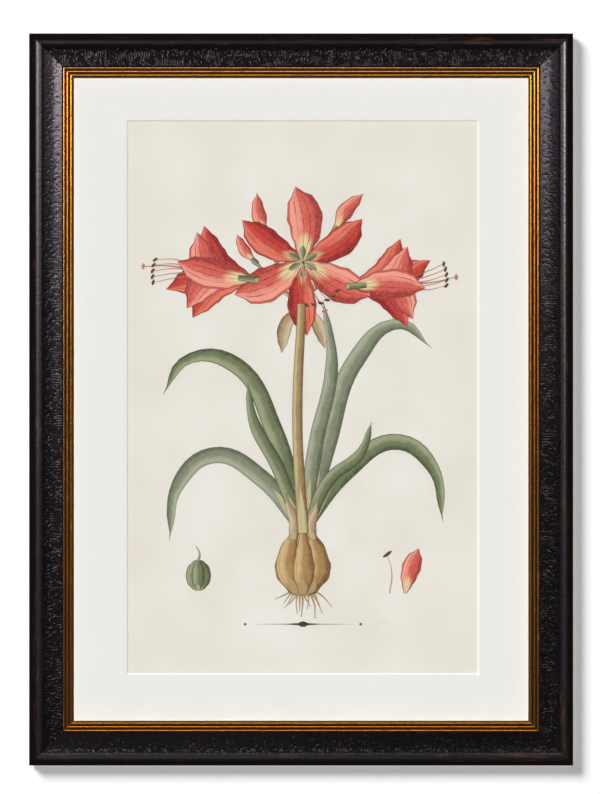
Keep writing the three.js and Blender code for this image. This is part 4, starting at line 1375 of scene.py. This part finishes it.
# %% Tabs
TABS = 14
TAB_LONG, TAB_WIDE, TAB_SHEET, TAB_NOSE = 12 * MM, 6 * MM, 0.4 * MM, 1.5 * MM
RIB_WIDE, RIB_HIGH, TAB_GAP = 1.6 * MM, 0.10 * MM, 0.05 * MM
pick()
bpy.ops.mesh.primitive_grid_add(x_subdivisions=6, y_subdivisions=6, size=1,
                                rotation=(math.radians(-90), 0, 0))
tab_blank = bpy.context.object
tab_blank.scale = (TAB_WIDE, TAB_LONG, 1)
finish_mesh(tab_blank)
edit(tab_blank)
select_where(tab_blank, "verts",
             lambda place, vert: abs(place.x) < 0.01 * MM and abs(place.z) < 0.4 * TAB_LONG)
bpy.ops.mesh.bevel(offset=RIB_WIDE / 2, affect="EDGES", segments=2)
select_where(tab_blank, "verts",
             lambda place, vert: abs(place.x) < 0.2 * RIB_WIDE and abs(place.z) < 0.38 * TAB_LONG)
bpy.ops.transform.translate(value=(0, RIB_HIGH, 0))
select_where(tab_blank, "verts",
             lambda place, vert: place.z > 0.49 * TAB_LONG and abs(place.x) > 0.49 * TAB_WIDE)
bpy.ops.mesh.bevel(offset=TAB_NOSE, affect="VERTICES", segments=1)
bpy.ops.object.mode_set(mode="OBJECT")
modify(tab_blank, "SOLIDIFY", thickness=TAB_SHEET, offset=0)
face_outwards(tab_blank)
for number in range(1, TABS + 1):
    node = f"point_tab_{number:02d}"
    low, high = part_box(node)
    middle = (low + high) / 2
    tab = copy_of(tab_blank, f"steel_tab_{number:02d}")
    upright = high.z - low.z > high.x - low.x
    outwards = middle.z - CENTRE.z if upright else middle.x
    turn = (180 if outwards > 0 else 0) if upright else (-90 if outwards > 0 else 90)
    tab.rotation_mode = "XYZ"
    tab.rotation_euler = (0, math.radians(turn), 0)
    tab.location = (middle.x, PANEL_HIGH.y + TAB_SHEET / 2 + TAB_GAP, middle.z)
    give(tab, metal["spring_steel"])
    settle(tab, "frame", node)
bpy.data.objects.remove(tab_blank)
print(f"tabs: {TABS}, each", [round(side / MM, 2) for side in tab.dimensions], "mm")

# %% [markdown]
# The hanger strap is one strip folded round the ring's bar and back on itself, so it is drawn as
# the strip's edge: along the timber, round the eye, and back. Drawn out sideways, thickened and
# rounded at the tail, it is the real part. All three parts of a hanger are made at the hinge, with
# the strap's tail towards -X, in millimetres.

# %% Hanger strap
STRAP_WIDE, STRIP, STRAP_TAIL = 12.0, 0.6, -22.0
UNDER, OVER = 0.36, 0.97
HINGE_UP, EYE_MIDDLE = 2.4, 1.85
LENGTHS = 6
strap_edge = [(STRAP_TAIL, UNDER, 0), (-12, UNDER, 0), (-4.5, UNDER, 0), (-2.4, 0.42, 0)]
strap_edge += arc((0, HINGE_UP), EYE_MIDDLE, -110, 130, 20)
strap_edge += [(-2.6, 2.4, 0), (-4.4, 1.25, 0), (-6.4, OVER, 0), (-12, OVER, 0), (STRAP_TAIL, OVER, 0)]
strap_blank = drawn_line("strap_blank", strap_edge)
edit(strap_blank, "EDGE")
bpy.ops.transform.translate(value=(0, 0, -STRAP_WIDE / 2 * MM))
for step in range(LENGTHS):
    bpy.ops.mesh.extrude_region_move(TRANSFORM_OT_translate={"value": (0, 0, STRAP_WIDE / LENGTHS * MM)})
select_where(strap_blank, "verts", lambda place, vert: place.x < (STRAP_TAIL + 0.1) * MM
             and abs(place.z) > (STRAP_WIDE / 2 - 0.1) * MM)
bpy.ops.mesh.bevel(offset=1.99 * MM, affect="VERTICES", segments=5)
bpy.ops.object.mode_set(mode="OBJECT")
modify(strap_blank, "SOLIDIFY", thickness=(STRIP - 0.02) * MM, offset=0)
face_outwards(strap_blank)
modify(strap_blank, "BEVEL", width=0.12 * MM, segments=2, angle_limit=math.radians(50))
print("strap:", triangles(strap_blank), "triangles")

# %% [markdown]
# The ring is a circle of wire, drawn out along each straight of the D and spun round each corner
# and the bow. Spin turns against the right-hand rule about its axis, so its angles are negative.
# The circle's place goes into its mesh first, because each copy gets a new place later.

# %% D ring
WIRE, HALF_SPAN, CORNER, STRAIGHT = 1.1, 8.0, 2.4, 5.0
BAR_HALF, ARM = HALF_SPAN - CORNER, STRAIGHT - CORNER
ROUTE = (  # a straight move, then the middle, angle and steps of the bend after it
    ((0, 0, BAR_HALF), (CORNER, BAR_HALF), 90, 8),
    ((ARM, 0, 0), (STRAIGHT, 0), 180, 28),
    ((-ARM, 0, 0), (CORNER, -BAR_HALF), 90, 8),
    ((0, 0, BAR_HALF), None, 0, 0),
)
pick()
bpy.ops.mesh.primitive_circle_add(vertices=16, radius=WIRE * MM, location=(0, HINGE_UP * MM, 0))
ring_blank = bpy.context.object
finish_mesh(ring_blank)
edit(ring_blank)
for move, middle, angle, steps in ROUTE:
    bpy.ops.mesh.extrude_region_move(TRANSFORM_OT_translate={"value": Vector(move) * MM})
    if middle:
        bpy.ops.mesh.spin(steps=steps, angle=-math.radians(angle), axis=(0, 1, 0),
                          center=(middle[0] * MM, HINGE_UP * MM, middle[1] * MM))
bpy.ops.mesh.select_all(action="SELECT")
bpy.ops.mesh.remove_doubles(threshold=0.02 * MM)
face_outwards(ring_blank)
print("ring:", [round(side / MM, 1) for side in ring_blank.dimensions], "mm")

# %% [markdown]
# The screw is half an outline, from its tip up the shank and over the domed head, turned once
# round. Two tapered bars cut the cross in its head.

# %% Screw
SCREW_BACK, SCREW_SEAT, SCREW_TIP = -15.5, 1.30, -11.0
HEAD_RADIUS, HEAD_HIGH, SHANK = 3.4, 1.8, 1.6
POINT, BLUNT, TAPER = 0.5, 1.2, 4.0
DOME = ((1.0, 0.0), (1.0, 0.45), (0.93, 0.95), (0.74, 1.42), (0.42, 1.70), (0.0, HEAD_HIGH))
SLOT_LONG, SLOT_WIDE, SLOT_DEEP, SLOT_MIDDLE, SLOT_TAPER = 3.6, 0.75, 1.5, 1.55, 0.35
outline = [(0, SCREW_TIP), (POINT, SCREW_TIP + BLUNT), (SHANK, SCREW_TIP + TAPER), (SHANK, SCREW_SEAT)]
outline += [(share * HEAD_RADIUS, SCREW_SEAT + rise) for share, rise in DOME]
screw_line = [(SCREW_BACK - out, up, 0) for out, up in outline]
screw_blank = turned(drawn_line("screw_blank", screw_line), (SCREW_BACK * MM, 0, 0), 28)
for long_side, short_side in ((SLOT_LONG, SLOT_WIDE), (SLOT_WIDE, SLOT_LONG)):
    pick()
    bpy.ops.mesh.primitive_cube_add(size=1, location=(SCREW_BACK * MM, (SCREW_SEAT + SLOT_MIDDLE) * MM, 0),
                                    scale=(long_side * MM, SLOT_DEEP * MM, short_side * MM))
    cutter = bpy.context.object
    edit(cutter, "FACE")
    select_where(cutter, "faces", lambda place, face: place.y < -0.4)
    bpy.ops.transform.resize(value=(SLOT_TAPER if long_side == SLOT_LONG else 1, 1,
                                    SLOT_TAPER if short_side == SLOT_LONG else 1))
    finish_mesh(cutter)
    modify(screw_blank, "BOOLEAN", object=cutter, operation="DIFFERENCE", solver="EXACT")
    bpy.data.objects.remove(cutter)
print("screw:", triangles(screw_blank), "triangles")

# %% Hang one set on each upright
HINGE_X, HINGE_Z = 218.5, -172.8
for side, turn, x in (("left", 0, -HINGE_X), ("right", 180, HINGE_X)):
    for blank, name, node, body in ((strap_blank, "hanger_fold", "hanger_strap", "frame"),
                                    (ring_blank, "hanger_loop", "hanger_ring", f"{side}_ring"),
                                    (screw_blank, "hanger_pin", "hanger_screw", "frame")):
        piece = copy_of(blank, f"{name}_{side}")
        piece.rotation_mode = "XYZ"
        piece.rotation_euler = (0, math.radians(turn), 0)
        piece.location = (x * MM, 0, HINGE_Z * MM)
        give(piece, metal["nickel_plate"])
        settle(piece, body, f"{node}_{side}")
        print(piece.name, triangles(piece), "triangles")
for blank in (strap_blank, ring_blank, screw_blank):
    bpy.data.objects.remove(blank)

# %% [markdown]
# Bumpers are moulded rubber buttons, a little domed, with a groove round the foot where the mould
# parted. The V nails are driven flush from behind across each mitre, and only their edges show.

# %% Bumpers and V nails
BUMPER = ((0, 2.45), (-1.6, 2.42), (-3.0, 2.22), (-3.9, 1.85), (-4.45, 1.35), (-4.7, 0.85),
          (-4.62, 0.72), (-4.75, 0.60), (-4.95, 0.50), (-5.0, 0.30), (-4.95, 0.06), (0, 0.05))
for side in ("left", "right"):
    low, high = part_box(f"wall_bumper_{side}")
    half_outline = drawn_line(f"bumper_button_{side}", [(x, y, 0) for x, y in BUMPER])
    button = turned(half_outline, (0, 0, 0), 32)
    button.location = ((low.x + high.x) / 2, 0, (low.z + high.z) / 2)
    give(button, rubber)
    settle(button, "frame", f"wall_bumper_{side}", 40)
NAIL_DEEP, NAIL_SHEET, NAIL_PROUD = 7.0, 0.35, 0.04
NAIL_PLACES = (9.0, 24.0)
BARB = ((3.4, 2.3), (3.1, 2.6), (2.6, 2.5))
nail_edge = [(-x, 0, z) for x, z in BARB] + [(0, 0, 0)] + [(x, 0, z) for x, z in reversed(BARB)]
nail_blank = drawn_line("nail_blank", nail_edge)
edit(nail_blank, "EDGE")
bpy.ops.transform.translate(value=(0, NAIL_PROUD * MM, 0))
bpy.ops.mesh.extrude_region_move(TRANSFORM_OT_translate={"value": (0, -NAIL_DEEP * MM, 0)})
bpy.ops.object.mode_set(mode="OBJECT")
modify(nail_blank, "SOLIDIFY", thickness=NAIL_SHEET * MM, offset=0)
face_outwards(nail_blank)
for corner, (x, z) in enumerate(((-1, 1), (1, 1), (1, -1), (-1, -1))):
    for letter, inset in zip("ab", NAIL_PLACES):
        nail = copy_of(nail_blank, f"v_nail_{corner + 1}{letter}")
        nail.rotation_mode = "XYZ"
        nail.rotation_euler = (0, math.atan2(x, z), 0)
        nail.location = CENTRE + Vector((x * (HALF_WIDTH - inset * MM), 0, z * (HALF_HEIGHT - inset * MM)))
        give(nail, metal["spring_steel"])
        settle(nail, "frame", None)
bpy.data.objects.remove(nail_blank)
print("bumpers: 2, V nails: 8")

# %% [markdown]
# ## Behind and below
# The back needs lamps of its own, since every other one stands in front: a low sun for its form
# and a wide box for its metal to mirror. They stay so far behind that no front-facing slope
# catches them. A pale floor lies well under the frame and melts into the white room. It is kept
# out of reflections, so it changes nothing on the face.

# %% Back lamps
BACK_SUN_LEVEL, BACK_BOX_GLOW = 0.48, 0.9
back_sun = lamp("back_sun", "SUN", BACK_SUN_LEVEL * math.pi, CENTRE + Vector((0.35, 1.0, 0.45)), CENTRE,
                angle=math.radians(20))
back_box = panel("back_box", BACK_BOX_GLOW, CENTRE + Vector((-0.3, 2.2, 0.3)), CENTRE, 2.6, 1.6)
back_box.visible_diffuse = True
for light in (back_sun, back_box):
    only_for(light, [wall], "EXCLUDE")
print("back lamps:", back_sun.name, back_box.name)

# %% Floor
FLOOR_DROP, FLOOR_DEEP = 0.42, 2.4
pick()
bpy.ops.mesh.primitive_plane_add(size=1, location=(CENTRE.x, wall_y - FLOOR_DEEP / 2, BOTTOM - FLOOR_DROP))
floor = bpy.context.object
floor.name = floor.data.name = "floor"
floor.scale = (2 * WALL_REACH, FLOOR_DEEP, 1)
finish_mesh(floor)
floor_paint, wires, shader = material("floor_paint", Roughness=0.9)
place = wires.here()
mottle = wires.noise(place, 3.0, detail=4.0)
wires.feed(shader["Base Color"], wires.mix(mottle, (0.80, 0.79, 0.77), (0.84, 0.83, 0.82)))
tree = floor_paint.node_tree
away = wires.vector("DISTANCE", place, (CENTRE.x, wall_y - 0.4 * FLOOR_DEEP, BOTTOM - FLOOR_DROP))
edge = wires.smooth(away, 0.25 * FLOOR_DEEP, 0.40 * FLOOR_DEEP)
room = wires.node("ShaderNodeEmission", {"Color": (1, 1, 1), "Strength": 1.0})
paint = tree.nodes["Principled BSDF"]
shown = wires.node("ShaderNodeMixShader", {0: edge, 1: paint.outputs[0], 2: room.outputs[0]})
tree.links.new(shown.outputs[0], tree.nodes["Material Output"].inputs[0])
give(floor, floor_paint)
floor.visible_glossy = floor.visible_diffuse = False
floor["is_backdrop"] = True
print(f"floor: {FLOOR_DROP} m below the frame")

# %% [markdown]
# ## Sizes
# Nothing made here may change the object's size. The box of the measured parts and the box of
# everything now shown are written down together, to be compared.

# %% Sizes, measured and shown
low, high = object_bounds()
print("measured", tuple(CAD_LOW), tuple(CAD_HIGH), "shown", tuple(low), tuple(high))
